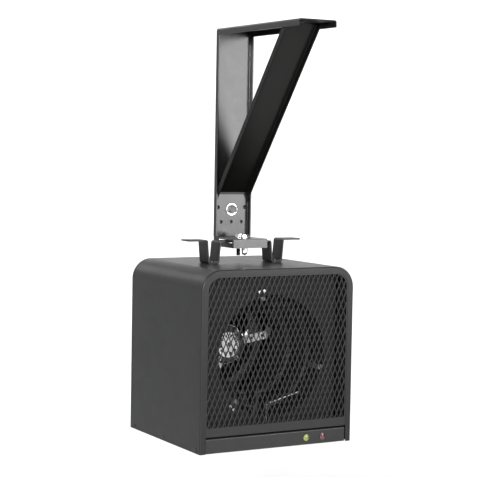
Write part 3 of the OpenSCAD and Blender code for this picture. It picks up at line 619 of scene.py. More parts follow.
def ceiling_arm():
    sec = arm_section(79.0, 13.0, 2.5, 3.6, 1.1)
    bm = bmesh.new()
    R = 4.0
    rows = []
    def row(fn):
        rows.append([bm.verts.new((x, *fn(q))) for x, q in sec])
    row(lambda q: (-145.0, -q))
    for k in range(7):
        t = radians(15 * k)
        row(lambda q, t=t: (POST - R + max(R - q, 0.0) * sin(t) if q < R else POST - q,
                            -R + max(R - q, 0.0) * cos(t) if q < R else -q))
    row(lambda q: (POST - q, TRAY + 0.3))
    m = len(sec)
    for a, b in zip(rows, rows[1:]):
        for k in range(m):
            bm.faces.new((a[k], a[(k + 1) % m], b[(k + 1) % m], b[k]))
    bm.faces.new(rows[0])
    bm.faces.new(rows[-1][::-1])
    bmesh.ops.remove_doubles(bm, verts=bm.verts, dist=0.001)
    bmesh.ops.dissolve_degenerate(bm, dist=0.001, edges=bm.edges)
    ob = obj_from(bm, "v_ceiling_arm")
    bm = bmesh.new()
    for x in (-20, 20):
        for y in (-120, 120):
            cyl(bm, (x, y, -10), (0, 0, 1), 4.5, 20)
    cyl(bm, (0, POST - 10, TRAY + 54), (0, 1, 0), 5.3, 20)
    for x in (-30, 30):
        cyl(bm, (x, POST - 10, TRAY + 58), (0, 1, 0), 3.8, 20)
    for x in (-22.8, 0, 22.8):
        cyl(bm, (x, POST - 10, TRAY + 29), (0, 1, 0), 3.3, 20)
    # blind pit, not a through hole
    cyl(bm, (28.5, POST - 10, -12), (0, 1, 0), 1.2, 8.8, 20)
    cut(ob, bm)
    tidy(ob)
    # sheared edges at the bar's front end
    ends = [1 if f.center.y < -144.9 else 0 for f in ob.data.polygons]
    ob.data.polygons.foreach_set("material_index", ends)
    bevel(ob, 0.3, 2)
    done(ob, (M["bracket"], M["cut_edge"]), "ceiling_arm")


BL, BU = Vector((POST - 13.0, -327.0)), Vector((-93.0, -13.0))
BD = (BU - BL).normalized()
BW = 79.0 - 5.0 - 1.0


def arm_brace():
    sec = arm_section(BW, 13.0, 2.5, 3.4, 1.0)
    # depth runs from the web's back face to the front and down
    back = BL + Vector((abs(BD.y), abs(BD.x))) * 13.0
    out_dir = -Vector((abs(BD.y), abs(BD.x)))
    bm = bmesh.new()
    rows = []
    for s in (-60.0, 500.0):
        rows.append([bm.verts.new((x, *(back + BD * s + out_dir * q))) for x, q in sec])
    m = len(sec)
    for k in range(m):
        bm.faces.new((rows[0][k], rows[0][(k + 1) % m], rows[1][(k + 1) % m], rows[1][k]))
    bm.faces.new(rows[0])
    bm.faces.new(rows[1][::-1])
    ob = obj_from(bm, "v_arm_brace")
    bm = bmesh.new()
    box(bm, (-50, -145, TRAY), (50, POST - 2.6, -2.6))
    cut(ob, bm, "INTERSECT")
    brz = back.y + (back.x - (POST - 2.5)) * abs(BD.y / BD.x) + 14
    bry = back.x + BD.x * ((-2.5 - back.y) / BD.y) + 14
    bm = bmesh.new()
    box(bm, (-BW / 2 + 1, POST - 5.0, brz - 19), (BW / 2 - 1, POST - 2.5, brz + 12))
    cut(ob, bm, "UNION")
    bm = bmesh.new()
    box(bm, (-BW / 2 + 1, bry - 19, -5.0), (BW / 2 - 1, bry + 12, -2.5))
    cut(ob, bm, "UNION")
    tidy(ob)
    # sheared edges of the two flanges
    edge = Vector((0, out_dir.x, out_dir.y))
    ob.data.polygons.foreach_set("material_index", [1 if f.normal.dot(edge) > 0.99 and abs(f.center.x) > BW / 2 - 2.6 else 0 for f in ob.data.polygons])
    bevel(ob, 0.3, 2)
    done(ob, (M["brace"], M["cut_edge"]), "arm_brace")
    bm = bmesh.new()
    head = [(0, 0), (4.5, 0), (4.4, 0.7), (3.7, 1.4), (2.4, 1.85), (1.1, 1.98), (0, 2.0)]
    for x in (-20, 20):
        lathe(bm, head, (x, POST - 5.0, brz), (0, -1, 0), 32)
        lathe(bm, head, (x, bry, -5.0), (0, 0, -1), 32)
    done(obj_from(bm, "v_brace_rivets"), M["black_screw"], "brace_rivets")


def swivel_tray():
    h, t = 37.5, 3.0
    y0, yb = POST - 82.0, POST + t
    zb = TRAY - 18.0
    bm = bmesh.new()
    box(bm, (-h, y0, zb), (h, POST, TRAY))
    ob = obj_from(bm, "v_swivel_tray")
    bm = bmesh.new()
    bm.from_mesh(ob.data)
    top = [e for e in bm.edges if all(v.co.z > TRAY - 0.1 for v in e.verts) and not all(v.co.y > POST - 0.1 for v in e.verts)]
    bmesh.ops.bevel(bm, geom=top, offset=1.6, segments=5, profile=0.5, affect="EDGES")
    bm.to_mesh(ob.data)
    bm.free()
    bm = bmesh.new()
    box(bm, (-h + t, y0 + t, zb - 5), (h - t, POST + 20, TRAY - t))
    top = [e for e in bm.edges if all(v.co.z > TRAY - t - 0.1 for v in e.verts)]
    bmesh.ops.bevel(bm, geom=top, offset=0.9, segments=3, profile=0.5, affect="EDGES")
    cut(ob, bm)
    # the upright leg behind the post, bent up from the tray's plate
    bm = bmesh.new()
    prof = bent([(POST - 30, TRAY), (POST, TRAY), (POST, TRAY + 75)], t, 1.0)
    prism(bm, [(p.x, p.y) for p in prof], "x", -h + 2, h - 2)
    cut(ob, bm, "UNION")
    bm = bmesh.new()
    box(bm, (-h - 2, HY - 30.5, TRAY - 8.5), (h + 2, HY + 29.5, TRAY - t))
    cut(ob, bm)
    # slits at the two front corners
    for s in (-1, 1):
        bm = bmesh.new()
        box(bm, (min(s * (h - t - 0.2), s * (h + 1)), y0 + t, zb - 2), (max(s * (h - t - 0.2), s * (h + 1)), y0 + t + 1.1, TRAY - 4.2))
        cut(ob, bm)
    # arc slot and holes
    bm = bmesh.new()
    c = Vector((0, HY + 12.5))
    a, r, w = radians(16.0), 25.0, 4.5
    ring = []
    for k in range(13):
        q = -pi / 2 - a + 2 * a * k / 12
        ring.append(c + Vector((cos(q), sin(q))) * (r + w))
    e = -pi / 2 + a
    for k in range(1, 8):
        q = e + pi * k / 8
        ring.append(c + Vector((cos(e), sin(e))) * r + Vector((cos(q), sin(q))) * w)
    for k in range(13):
        q = -pi / 2 + a - 2 * a * k / 12
        ring.append(c + Vector((cos(q), sin(q))) * (r - w))
    e = -pi / 2 - a
    for k in range(1, 8):
        q = e + pi + pi * k / 8
        ring.append(c + Vector((cos(e), sin(e))) * r + Vector((cos(q), sin(q))) * w)
    prism(bm, [(p.x, p.y) for p in ring], "z", TRAY - 6, TRAY + 4)
    cyl(bm, (0, HY + 12.5, TRAY - 6), (0, 0, 1), 4.1, 10)
    cyl(bm, (0, POST - 10, TRAY + 54), (0, 1, 0), 5.3, 20)
    cut(ob, bm)
    bm = bmesh.new()
    for x in (-30, 30):
        cyl(bm, (x, POST - 1, TRAY + 58), (0, 1, 0), 3.4, 3.3)
    for x in (-22.8, 0, 22.8):
        cyl(bm, (x, POST - 1, TRAY + 29), (0, 1, 0), 3.0, 3.3)
    cut(ob, bm)
    tidy(ob)
    bevel(ob, 0.3, 2)
    done(ob, M["tray"], "swivel_tray")


def washer(bm, at, axis, ro, ri, t, n=56, c=0.25):
    lathe(bm, [(ri, 0), (ro - c, 0), (ro, c), (ro, t - c), (ro - c, t), (ri + c, t), (ri, t - c)], at, axis, n)


def bracket_bolts():
    z = TRAY + 54
    y = POST - 2.5
    bm = bmesh.new()
    hex_head(bm, (0, y - 2.0, z), (0, -1, 0), 16.0, 6.4, (0, 0, 1))
    cyl(bm, (0, y - 2.0, z), (0, 1, 0), 4.9, 8)
    thread(bm, (0, y + 5.5, z), (0, 1, 0), 5.0, 16.0, 1.5)
    done(obj_from(bm, "v_tray_bolt"), M["grey_bolt"], "tray_bolt", smooth=28)
    bm = bmesh.new()
    washer(bm, (0, y, z), (0, -1, 0), 12.0, 5.2, 2.0)
    done(obj_from(bm, "v_tray_washer"), M["zinc"], "tray_washer")
    bm = bmesh.new()
    washer(bm, (0, POST + 3.0, z), (0, 1, 0), 10.0, 5.05, 2.0)
    hex_head(bm, (0, POST + 5.0, z), (0, 1, 0), 16.0, 8.0, (0, 0, 1), r_in=5.05, both=True)
    done(obj_from(bm, "v_tray_nut"), M["zinc"], "tray_nut", smooth=28)
    # pivot bolt, with its washer and nut; its tail below the tray gets the dark dull steel as painted shade
    y = HY + 12.5
    bm = bmesh.new()
    washer(bm, (0, y, TRAY), (0, 0, 1), 8.0, 3.9, 1.6)
    hex_head(bm, (0, y, TRAY + 1.6), (0, 0, 1), 13.0, 5.6, (1, 0, 0))
    cyl(bm, (0, y, TRAY + 1.6), (0, 0, -1), 3.95, 8.6)
    ob = obj_from(bm, "v_pivot_bolt")
    bm = bmesh.new()
    thread(bm, (0, y, TRAY - 6.9), (0, 0, -1), 4.0, 28.6, 1.25)
    join_with_painted_shade([ob, obj_from(bm, "tmp_tail")], "v_pivot_bolt", (M["zinc"], M["dull_and_shade"]), "pivot_bolt")
    bm = bmesh.new()
    hex_head(bm, (0, y, HZ + 43.3 - 3 - 0.3 - 6.5), (0, 0, 1), 13.0, 6.5, (1, 0, 0), r_in=4.05, both=True)
    done(obj_from(bm, "v_pivot_nut"), M["zinc"], "pivot_nut", smooth=28)
    bm = bmesh.new()
    washer(bm, (0, y, TRAY - 4.5), (0, 0, 1), 10.0, 4.15, 1.5)
    done(obj_from(bm, "v_friction_washer"), M["fibre"], "friction_washer")
    # lock bolt and its domed nut
    y = HY + 12.5 - 25.0
    bm = bmesh.new()
    washer(bm, (0, y, HZ + 48.2), (0, 0, 1), 8.0, 3.9, 1.6)
    hex_head(bm, (0, y, HZ + 49.8), (0, 0, 1), 13.0, 5.6, (0.9, 0.44, 0))
    cyl(bm, (0, y, HZ + 49.8), (0, 0, -1), 3.95, 10.5)
    thread(bm, (0, y, HZ + 39.5), (0, 0, -1), 4.0, 19.4, 1.25)
    done(obj_from(bm, "v_lock_bolt"), M["bolt_mid"], "lock_bolt", smooth=28)
    bm = bmesh.new()
    z = HZ + 43.3 - 3 - 9
    hex_head(bm, (0, y, z + 9), (0, 0, -1), 13.0, 9.0, (0.9, 0.44, 0))
    prof = [(5.9, 0), (5.9, 10.8)]
    for k in range(1, 9):
        q = radians(90 * k / 8)
        prof.append((5.9 * cos(q), 10.8 + 5.85 * sin(q)))
    prof = [(0, 0)] + prof[:-1] + [(0, 16.65)]
    lathe(bm, prof, (0, y, z + 0.1), (0, 0, -1), 40)
    done(obj_from(bm, "v_lock_nut"), M["zinc"], "lock_nut", smooth=28)


# ------------------------------------------------------------------ hanger
def hanger():
    T = 43.3
    right = [(125, T + 3), (83.6, T + 3), (79.8, 3), (61.2, 3), (57.6, T)]
    run = right + [(-x, z) for x, z in right[::-1]]
    P = [Vector(p) for p in run]
    Q = []
    def nrm(a, b):
        d = (b - a).normalized()
        return Vector((-d.y, d.x))
    for i, p in enumerate(P):
        if i == 0:
            Q.append(p + nrm(P[0], P[1]) * 3.0)
        elif i == len(P) - 1:
            Q.append(p + nrm(P[-2], P[-1]) * 3.0)
        else:
            n1, n2 = nrm(P[i - 1], p), nrm(p, P[i + 1])
            mm = (n1 + n2).normalized()
            Q.append(p + mm * (3.0 / mm.dot(n1)))
    rp, rq = [0.0] * len(P), [0.0] * len(P)
    # the side that is inside a bend has the small radius
    for i in range(1, len(P) - 1):
        if (Q[i] - P[i]).dot((P[i - 1] - P[i]).normalized() + (P[i + 1] - P[i]).normalized()) > 0:
            rp[i], rq[i] = 4.6, 1.6
        else:
            rp[i], rq[i] = 1.6, 4.6
    prof = fillet(P, rp, 6) + fillet(Q, rq, 6)[::-1]
    bm = bmesh.new()
    prism(bm, [(p.x, p.y) for p in prof], "y", -18.0, 18.0)
    ob = obj_from(bm, "v_hanger_strap")
    # round the wings' corners
    for s in (-1, 1):
        for q in (-1, 1):
            bm = bmesh.new()
            c = Vector((s * 121.0, q * 14.0))
            poly = [Vector((s * 130.0, q * 14.0)), Vector((s * 125.0, q * 14.0))]
            for k in range(9):
                a = radians(90 * k / 8)
                poly.append(c + Vector((s * 4.0 * cos(a), q * 4.0 * sin(a))))
            poly += [Vector((s * 121.0, q * 22.0)), Vector((s * 130.0, q * 22.0))]
            prism(bm, [(p.x, p.y) for p in poly], "z", 30, 50)
            cut(ob, bm)
    bm = bmesh.new()
    cyl(bm, (0, 12.5, 30), (0, 0, 1), 4.06, 20)
    cyl(bm, (0, -12.5, 30), (0, 0, 1), 4.06, 20)
    cut(ob, bm)
    tidy(ob)
    bevel(ob, 0.35, 2)
    at_heater(ob)
    done(ob, M["strap"], "hanger_strap")
    obs = [pan_screw((x, y, 3.0), (0, 0, 1), 4.4, 2.8, 20 + 31 * i) for i, (x, y) in enumerate(((-70.5, -9.5), (-70.5, 9.5), (70.5, -9.5), (70.5, 9.5)))]
    ob = at_heater(join(obs, "v_strap_screws"))
    done(ob, M["black_screw"], "strap_screws", smooth=40)


# ------------------------------------------------------------------ casing
def arch_at(i, u):
    """Point of the cabinet's outline, set in by i, at path station u = (kind, value)."""
    k, v = u
    r = CR - i
    if k == "L":
        return (-HX + i, v)
    if k == "R":
        return (HX - i, v)
    if k == "T":
        return (v, -i)
    s = -1 if k == "AL" else 1
    if r < 0:
        r = 0.0
    return (s * (HX - CR) + s * r * cos(v), -CR + r * sin(v))


def arch_path(low, n=16):
    path = [("L", low), ("L", (low - CR) / 2), ("L", -CR - 0.001)]
    path += [("AL", radians(90 * k / n)) for k in range(1, n)]
    path += [("T", -HX + CR), ("T", 0.0), ("T", HX - CR)]
    path += [("AR", radians(90 - 90 * k / n)) for k in range(1, n)]
    path += [("R", -CR - 0.001), ("R", (low - CR) / 2), ("R", low)]
    return path


def arch_sweep(bm, prof, low, n=16):
    """Closed profile (inset, y) carried round the cabinet's outline, its ends closed."""
    rows = []
    for u in arch_path(low, n):
        row = []
        for i, y in prof:
            x, z = arch_at(i, u)
            row.append(bm.verts.new((x, y, z)))
        rows.append(row)
    m = len(prof)
    for a, b in zip(rows, rows[1:]):
        for k in range(m):
            bm.faces.new((a[k], a[(k + 1) % m], b[(k + 1) % m], b[k]))
    bm.faces.new(rows[0])
    bm.faces.new(rows[-1][::-1])


def cabinet():
    t = 1.2
    out = fillet([(10.0, BY), (0.0, BY), (0.0, FY), (12.0, FY)], [0, 3.0, 3.0, 0], 7)
    inn = fillet([(12.0, FY + t), (t, FY + t), (t, BY - t), (10.0, BY - t)], [0, 1.8, 1.8, 0], 7)
    prof = [(p.x, p.y) for p in out]
    # the hems at both openings are rounded
    prof += [(12.25, FY + 0.35), (12.25, FY + t - 0.35)]
    prof += [(p.x, p.y) for p in inn]
    prof += [(10.25, BY - t + 0.35), (10.25, BY - 0.35)]
    prof = [(min(i, 12.2), y) for i, y in prof]
    bm = bmesh.new()
    arch_sweep(bm, prof, -CH, 18)
    ob = obj_from(bm, "v_cabinet_shell")
    bevel(ob, 0.3, 2, 60)
    at_heater(ob)
    done(ob, M["cabinet"], "cabinet_shell", smooth=50)
    obs = []
    for s in (-1, 1):
        for i, y in enumerate((-132, 1, 128)):
            obs.append(pan_screw((s * HX, y, -CH + 7), (s, 0, 0), 3.6, 1.6, 15 + 37 * i + 50 * s))
    done(at_heater(join(obs, "v_cabinet_screws")), M["black_screw"], "cabinet_screws", smooth=40)


def control_panel():
    top, low = -CH + 28.0, -CH + 0.3
    P = [(FY + 12, top), (FY, top), (FY, low), (FY + 13.5, low)]
    Q = [(FY + 13.5, low + 1.2), (FY + 1.2, low + 1.2), (FY + 1.2, top - 1.2), (FY + 12, top - 1.2)]
    prof = fillet(P, [0, 2.2, 2.2, 0], 7) + fillet(Q, [0, 1.0, 1.0, 0], 7)
    bm = bmesh.new()
    prism(bm, [(p.x, p.y) for p in prof], "x", -HX + 12.5, HX - 14.5)
    ob = obj_from(bm, "v_control_panel")
    bm = bmesh.new()
    for x in (63.5, 100):
        cyl(bm, (x, FY - 5, -CH + 14.2), (0, 1, 0), 5.1, 12)
    cut(ob, bm)
    tidy(ob)
    bevel(ob, 0.25, 2)
    at_heater(ob)
    done(ob, M["panel"], "control_panel", smooth=50)


def lamps():
    for x, node, mat in ((63.5, "power_lamp", "green"), (100, "heat_lamp", "red")):
        bm = bmesh.new()
        prof = [(0, 0.0), (5.0, 0.0), (5.0, 8.0), (6.0, 8.05), (6.2, 8.3), (6.2, 9.2), (5.9, 9.4), (5.4, 9.4)]
        for k in range(1, 9):
            a = radians(36.87) * (1 - k / 8)
            prof.append((9.0 * sin(a), 9.4 - 7.2 + 9.0 * cos(a)))
        prof[-1] = (0, 11.2)
        lathe(bm, prof, (x, FY + 8.0, -CH + 14.2), (0, -1, 0), 48)
        ob = at_heater(obj_from(bm, "v_" + node))
        done(ob, M[mat], node, smooth=40)


def grille():
    """Expanded metal: each strand is a flat bar that twists between two knuckles."""
    px, pz, w, t = 10.7, 24.6, 2.1, 1.15
    y0 = FY + 2.4 + 0.75
    top = -11.0 - 2.0
    low = SHELF + 12.0
    bm = bmesh.new()

    def inside(x, z, i):
        if z < low or z > -i:
            return False
        if abs(x) > HX - i:
            return False
        if z > -CR and abs(x) > HX - CR:
            return (abs(x) - (HX - CR)) ** 2 + (z + CR) ** 2 < (CR - i) ** 2
        return True

    def section(c, d, tilt, ww, tt, lift):
        # d: direction of the strand in the x-z plane, tilt turns its face about the upright axis
        side = Vector((d.z, 0, -d.x)).normalized()
        n = Vector((0, -1, 0))
        s2 = side * cos(tilt) + n * sin(tilt)
        n2 = n * cos(tilt) - side * sin(tilt)
        c = Vector((c.x, y0 + lift, c.z))
        k = 0.22
        a, b = ww / 2, tt / 2
        pts = [(-a, -b + k), (-a + k, -b), (a - k, -b), (a, -b + k), (a, b - k), (a - k, b), (-a + k, b), (-a, b - k)]
        return [c + s2 * p[0] + n2 * p[1] for p in pts]

    ends = []
    for j in range(0, 25):
        for i in range(-31, 32):
            if (i + j) % 2 == 0:
                continue
            ends.append((i * px / 2, top - j * pz / 2))
    for x, z in ends:
        for sx in (-1, 1):
            a, b = Vector((x, 0, z)), Vector((x + sx * px / 2, 0, z - pz / 2))
            mid = (a + b) / 2
            if not inside(mid.x, mid.z, 10.6):
                continue
            d = (b - a).normalized()
            f = 1 if sx > 0 else -1
            rows = []
            for u, tl, ww, lift in ((0.0, -0.25, 1.6, -0.2), (0.10, -0.30, 1.9, -0.18), (0.28, -0.48, w, -0.07),
                                    (0.72, -0.48, w, 0.07), (0.90, -0.30, 1.9, 0.18), (1.0, -0.25, 1.6, 0.2)):
                # strands lean towards the knuckle's own upright line near their ends
                c = a.lerp(b, u)
                off = 0.28 * f * (1 if u < 0.5 else -1) * max(0.0, 1 - min(u, 1 - u) / 0.2)
                c = Vector((c.x + off, 0, c.z))
                dd = d
                rows.append([bm.verts.new(p) for p in section(c, dd, tl, ww, t, lift)])
            for p, q in zip(rows, rows[1:]):
                for k in range(8):
                    bm.faces.new((p[k], p[(k + 1) % 8], q[(k + 1) % 8], q[k]))
            bm.faces.new(rows[0][::-1])
            bm.faces.new(rows[-1])
    # knuckles where four strands meet
    for x, z in ends + [(x, z - pz / 2) for x, z in ends if z - pz / 2 < top - 24.5 * pz / 2]:
        if not inside(x, z, 11.2):
            continue
        rows = []
        for h, ww in ((3.1, 0.8), (2.5, 1.9), (1.2, 2.9), (-1.2, 2.9), (-2.5, 1.9), (-3.1, 0.8)):
            rows.append([bm.verts.new(p) for p in section(Vector((x, 0, z + h)), Vector((0, 0, -1)), -0.25, ww, t, -0.08 * h)])
        for p, q in zip(rows, rows[1:]):
            for k in range(8):
                bm.faces.new((p[k], p[(k + 1) % 8], q[(k + 1) % 8], q[k]))
        bm.faces.new(rows[0][::-1])
        bm.faces.new(rows[-1])
    ob = at_heater(obj_from(bm, "v_mesh_grille"))
    done(ob, M["mesh"], "mesh_grille", smooth=50, weighted=False)


# ------------------------------------------------------------------ air path
def fins():
    bm = bmesh.new()
    for y, r, turns in ((-84.0, 104.0, 112), (-46.0, 84.0, 92)):
        a0, a1 = radians(-90 + 21), radians(270 - 21)
        steps = turns * 20
        rows = []
        for k in range(steps + 1):
            f = k / steps
            a = a0 + (a1 - a0) * f
            psi = 2 * pi * turns * f
            c = Vector((r * cos(a), y, AZ + r * sin(a)))
            e1, e2 = Vector((cos(a), 0, sin(a))), Vector((0, 1, 0))
            tan_ = Vector((-sin(a), 0, cos(a)))
            e = e1 * cos(psi) + e2 * sin(psi)
            rows.append([bm.verts.new(c + e * q + tan_ * s) for q, s in ((3.9, -0.35), (9.0, -0.18), (9.0, 0.18), (3.9, 0.35))])
        for p, q in zip(rows, rows[1:]):
            for k in range(4):
                bm.faces.new((p[k], p[(k + 1) % 4], q[(k + 1) % 4], q[k]))
        bm.faces.new(rows[0][::-1])
        bm.faces.new(rows[-1])
    ob = at_heater(obj_from(bm, "v_element_fins"))
    done(ob, M["element"], "element_fins", smooth=50, weighted=False)


def bulb():
    y = FY + 25.0 - 9.5
    s = Vector((-8.0, y, -255.0))
    d = Vector((cos(radians(14.5)), 0, sin(radians(14.5))))
    pts, rad = [], []
    # capillary up from the shelf, in a soft curve to the bulb's end
    for k in range(8):
        pts.append(Vector((-16.0, y, SHELF - 11 + (-271.0 - (SHELF - 11)) * k / 7)))
        rad.append(1.2)
    p0, p1, p2, p3 = Vector((-16, y, -271)), Vector((-16, y, -262)), s - d * 9.0, s - d * 2.0
    for k in range(1, 15):
        u = k / 14
        pts.append(p0 * (1 - u) ** 3 + p1 * 3 * u * (1 - u) ** 2 + p2 * 3 * u * u * (1 - u) + p3 * u ** 3)
        rad.append(1.2)
    for l, r in ((-1.6, 1.25), (-1.0, 2.2), (-0.2, 2.5), (0.8, 2.6), (20, 2.6), (44, 2.6), (66.6, 2.6), (67.4, 2.4), (67.8, 1.8), (68.0, 0.8)):
        pts.append(s + d * l)
        rad.append(r)
    bm = bmesh.new()
    sweep_tube(bm, pts, rad, 20)
    ob = at_heater(obj_from(bm, "v_thermostat_bulb"))
    done(ob, M["bulb"], "thermostat_bulb", smooth=50, weighted=False)


def plate_screws():
    obs = []
    for i, a in enumerate((101.5, 227.6, 346)):
        for t in (-5, 5):
            e = Vector((cos(radians(a)), sin(radians(a))))
            p = e * 126 + Vector((-e.y, e.x)) * t
            obs.append(pan_screw((p.x, FY + 25.0, AZ + p.y), (0, -1, 0), 3.4, 2.0, 25 + 40 * i + 9 * t))
    # the pair at 346 degrees gets the dark dull steel as painted shade, so it barely shows; the other four stay zinc
    for i, o in enumerate(obs):
        o.data.polygons.foreach_set("material_index", [i // 4] * len(o.data.polygons))
    done(at_heater(join(obs, "v_orifice_screws")), (M["zinc"], M["dull_and_shade"]), "orifice_screws", smooth=40)
    obs = []
    for i, a in enumerate((45, 135, 225, 315)):
        x, z = 111 * cos(radians(a)), AZ + 111 * sin(radians(a))
        obs.append(pan_screw((x, BY - 1.2, z), (0, 1, 0), 3.4, 1.7, 12 + 29 * i))
    done(at_heater(join(obs, "v_guard_screws")), M["grey_bolt"], "guard_screws", smooth=40)


def fan():
    fy = 123.0
    bm = bmesh.new()
    hub = fillet([(4.0, -9), (7.0, -9), (7.0, 7.0), (20.4, 7.0), (20.4, -13), (22.0, -13.0), (24.0, -12.0), (24.0, 13.0), (4.0, 13.0)],
                 [0, 0.8, 2.0, 2.0, 0.5, 0.5, 0.8, 3.5, 0], 5)
    lathe(bm, [(p.x, p.y) for p in hub], (0, fy, AZ), (0, 1, 0), 64)
    ob = obj_from(bm, "v_fan_blades")
    bm = bmesh.new()
    nu, nv = 16, 14
    for i in range(5):
        th = radians(72 * i + 36)
        er, et = Vector((cos(th), 0, -sin(th))), Vector((sin(th), 0, cos(th)))
        grid = []
        for a in range(nu + 1):
            u = a / nu
            r = 22.5 + (98.2 - 22.5) * u
            c = 28.5 + 22.0 * u ** 0.8
            beta = asin(min(0.56, 14.6 / c))
            if u > 0.88:
                c *= sqrt(max(0.0, 1 - ((u - 0.88) / 0.12) ** 2 * 0.16))
            row = []
            for b in range(nv + 1):
                v = -1 + 2 * b / nv
                q = v * c
                camber = 2.4 * (1 - v * v)
                y = max(-15.6, min(15.6, -q * sin(beta) + camber * cos(beta)))
                ph = (q * cos(beta) + camber * sin(beta)) / r
                e = er * cos(ph) + et * sin(ph)
                row.append(bm.verts.new(Vector((0, fy + y, AZ)) + e * r))
            grid.append(row)
        for a in range(nu):
            for b in range(nv):
                bm.faces.new((grid[a][b], grid[a + 1][b], grid[a + 1][b + 1], grid[a][b + 1]))
    bl = obj_from(bm, "tmp_blades")
    m = bl.modifiers.new("s", "SOLIDIFY")
    m.thickness, m.offset = 1.5, 0.0
    apply_mods(bl)
    ob = at_heater(join([ob, bl], "v_fan_blades"))
    bevel(ob, 0.25, 1, 60)
    done(ob, M["fan"], "fan_blades", smooth=40)


def front_bell():
    """Cast end bell: a dark rim, a bright ribbed disc with ten slots and painted shade in its groove, and four bolt
    lugs.
    """
    my = 44.0
    bm = bmesh.new()
    rim = fillet([(24.6, 5.0), (24.6, 3.2), (36.5, 3.0), (36.5, 9.0), (38.0, 9.0), (38.0, 12.0), (34.5, 12.0), (34.5, 5.0)],
                 [0, 0.5, 1.6, 0.4, 0.5, 0.3, 0.8, 0], 4)
    lathe(bm, [(p.x, p.y) for p in rim], (0, my, AZ), (0, 1, 0), 96)
    dark = obj_from(bm, "tmp_rim")
    bm = bmesh.new()
    disc = fillet([(5.3, 6.0), (5.3, 0.1), (12.0, 0.1), (12.0, 1.2), (15.0, 1.2), (15.0, 2.4), (22.5, 2.4), (22.5, 1.2), (25.8, 1.2), (25.8, 4.6), (12.0, 4.6), (12.0, 6.0)],
                  [0, 0.5, 0.5, 0.35, 0.35, 0.4, 0.4, 0.35, 0.6, 0.3, 0.3, 0], 3)
    lathe(bm, [(p.x, p.y) for p in disc], (0, my, AZ), (0, 1, 0), 96)
    bright = obj_from(bm, "tmp_disc")
    bm = bmesh.new()
    for k in range(10):
        t = radians(36 * k)
        e, g = Vector((cos(t), 0, sin(t))), Vector((-sin(t), 0, cos(t)))
        vs = []
        for y in (my - 1, my + 8):
            for r, w in ((14.6, 1.5), (21.2, 2.9), (21.2, -2.9), (14.6, -1.5)):
                vs.append(bm.verts.new(Vector((0, y, AZ)) + e * r + g * w))
        bm.faces.new(vs[0:4])
        bm.faces.new(vs[4:8][::-1])
        for i in range(4):
            j = (i + 1) % 4
            bm.faces.new((vs[i], vs[4 + i], vs[4 + j], vs[j]))
    cut(bright, bm)
    tidy(bright)
    bevel(bright, 0.25, 2, 50)
    bm = bmesh.new()
    for a in (55, 125, 235, 305):
        t = radians(a)
        lug = [(0, 5.0), (4.6, 5.0), (4.6, 1.9), (4.2, 1.5), (0, 1.5)]
        lathe(bm, lug, (32.5 * cos(t), my, AZ + 32.5 * sin(t)), (0, 1, 0), 32)
    lugs = obj_from(bm, "tmp_lugs")
    for i, o in enumerate((bright, dark, lugs)):
        o.data.polygons.foreach_set("material_index", [(0, 1, 0)[i]] * len(o.data.polygons))
    # the groove between the rings gets the dark rim material as painted shade in the recess
    for f in bright.data.polygons:
        if 15.3 < (f.center.x ** 2 + (f.center.z - AZ) ** 2) ** 0.5 < 22.2:
            f.material_index = 1
    ob = at_heater(join([bright, dark, lugs], "v_motor_front_bell"))
    done(ob, (M["alloy"], M["dark_bell_and_groove_shade"]), "motor_front_bell", smooth=40)


def knob():
    x, y, z = -40.0, -42.0, -CH
    bm = bmesh.new()
    def wave(r, h, t):
        return r - (0.55 * max(0.0, cos(20 * t)) ** 2 if 3.0 < h < 12.0 and r > 13 else 0.0)
    prof = [(0, 0.0), (18.2, 0.0), (18.5, 0.3), (18.5, 2.2), (17.6, 3.0), (15.4, 3.4), (15.0, 4.0), (15.0, 5.5), (15.0, 8.5), (15.0, 11.5),
            (14.6, 12.2), (13.8, 12.5), (0, 12.5)]
    prof = [(r, h) for r, h in prof]
    lathe(bm, prof, (x, y, z - 5.0), (0, 0, -1), 160, wave)
    ob = obj_from(bm, "v_knob_body")
    bm = bmesh.new()
    box(bm, (x - 3.4, y - 17.8, z - 21.4), (x + 3.4, y + 17.8, z - 6.0))
    bmesh.ops.bevel(bm, geom=list(bm.edges), offset=1.1, segments=3, profile=0.5, affect="EDGES")
    cyl(bm, (x, y, z - 10), (0, 0, 1), 3.0, 17)
    ob = join([ob, obj_from(bm, "tmp_bar")], "v_thermostat_knob")
    at_heater(ob)
    done(ob, M["black"], "thermostat_knob", smooth=40)
    bm = bmesh.new()
    box(bm, (x - 0.6, y - 17.2, z - 21.5), (x + 0.6, y - 6.0, z - 21.2))
    bmesh.ops.bevel(bm, geom=list(bm.edges), offset=0.1, segments=2, profile=0.5, affect="EDGES")
    ob = at_heater(obj_from(bm, "v_knob_mark"))
    done(ob, M["mark"], None, body="knob", smooth=40)


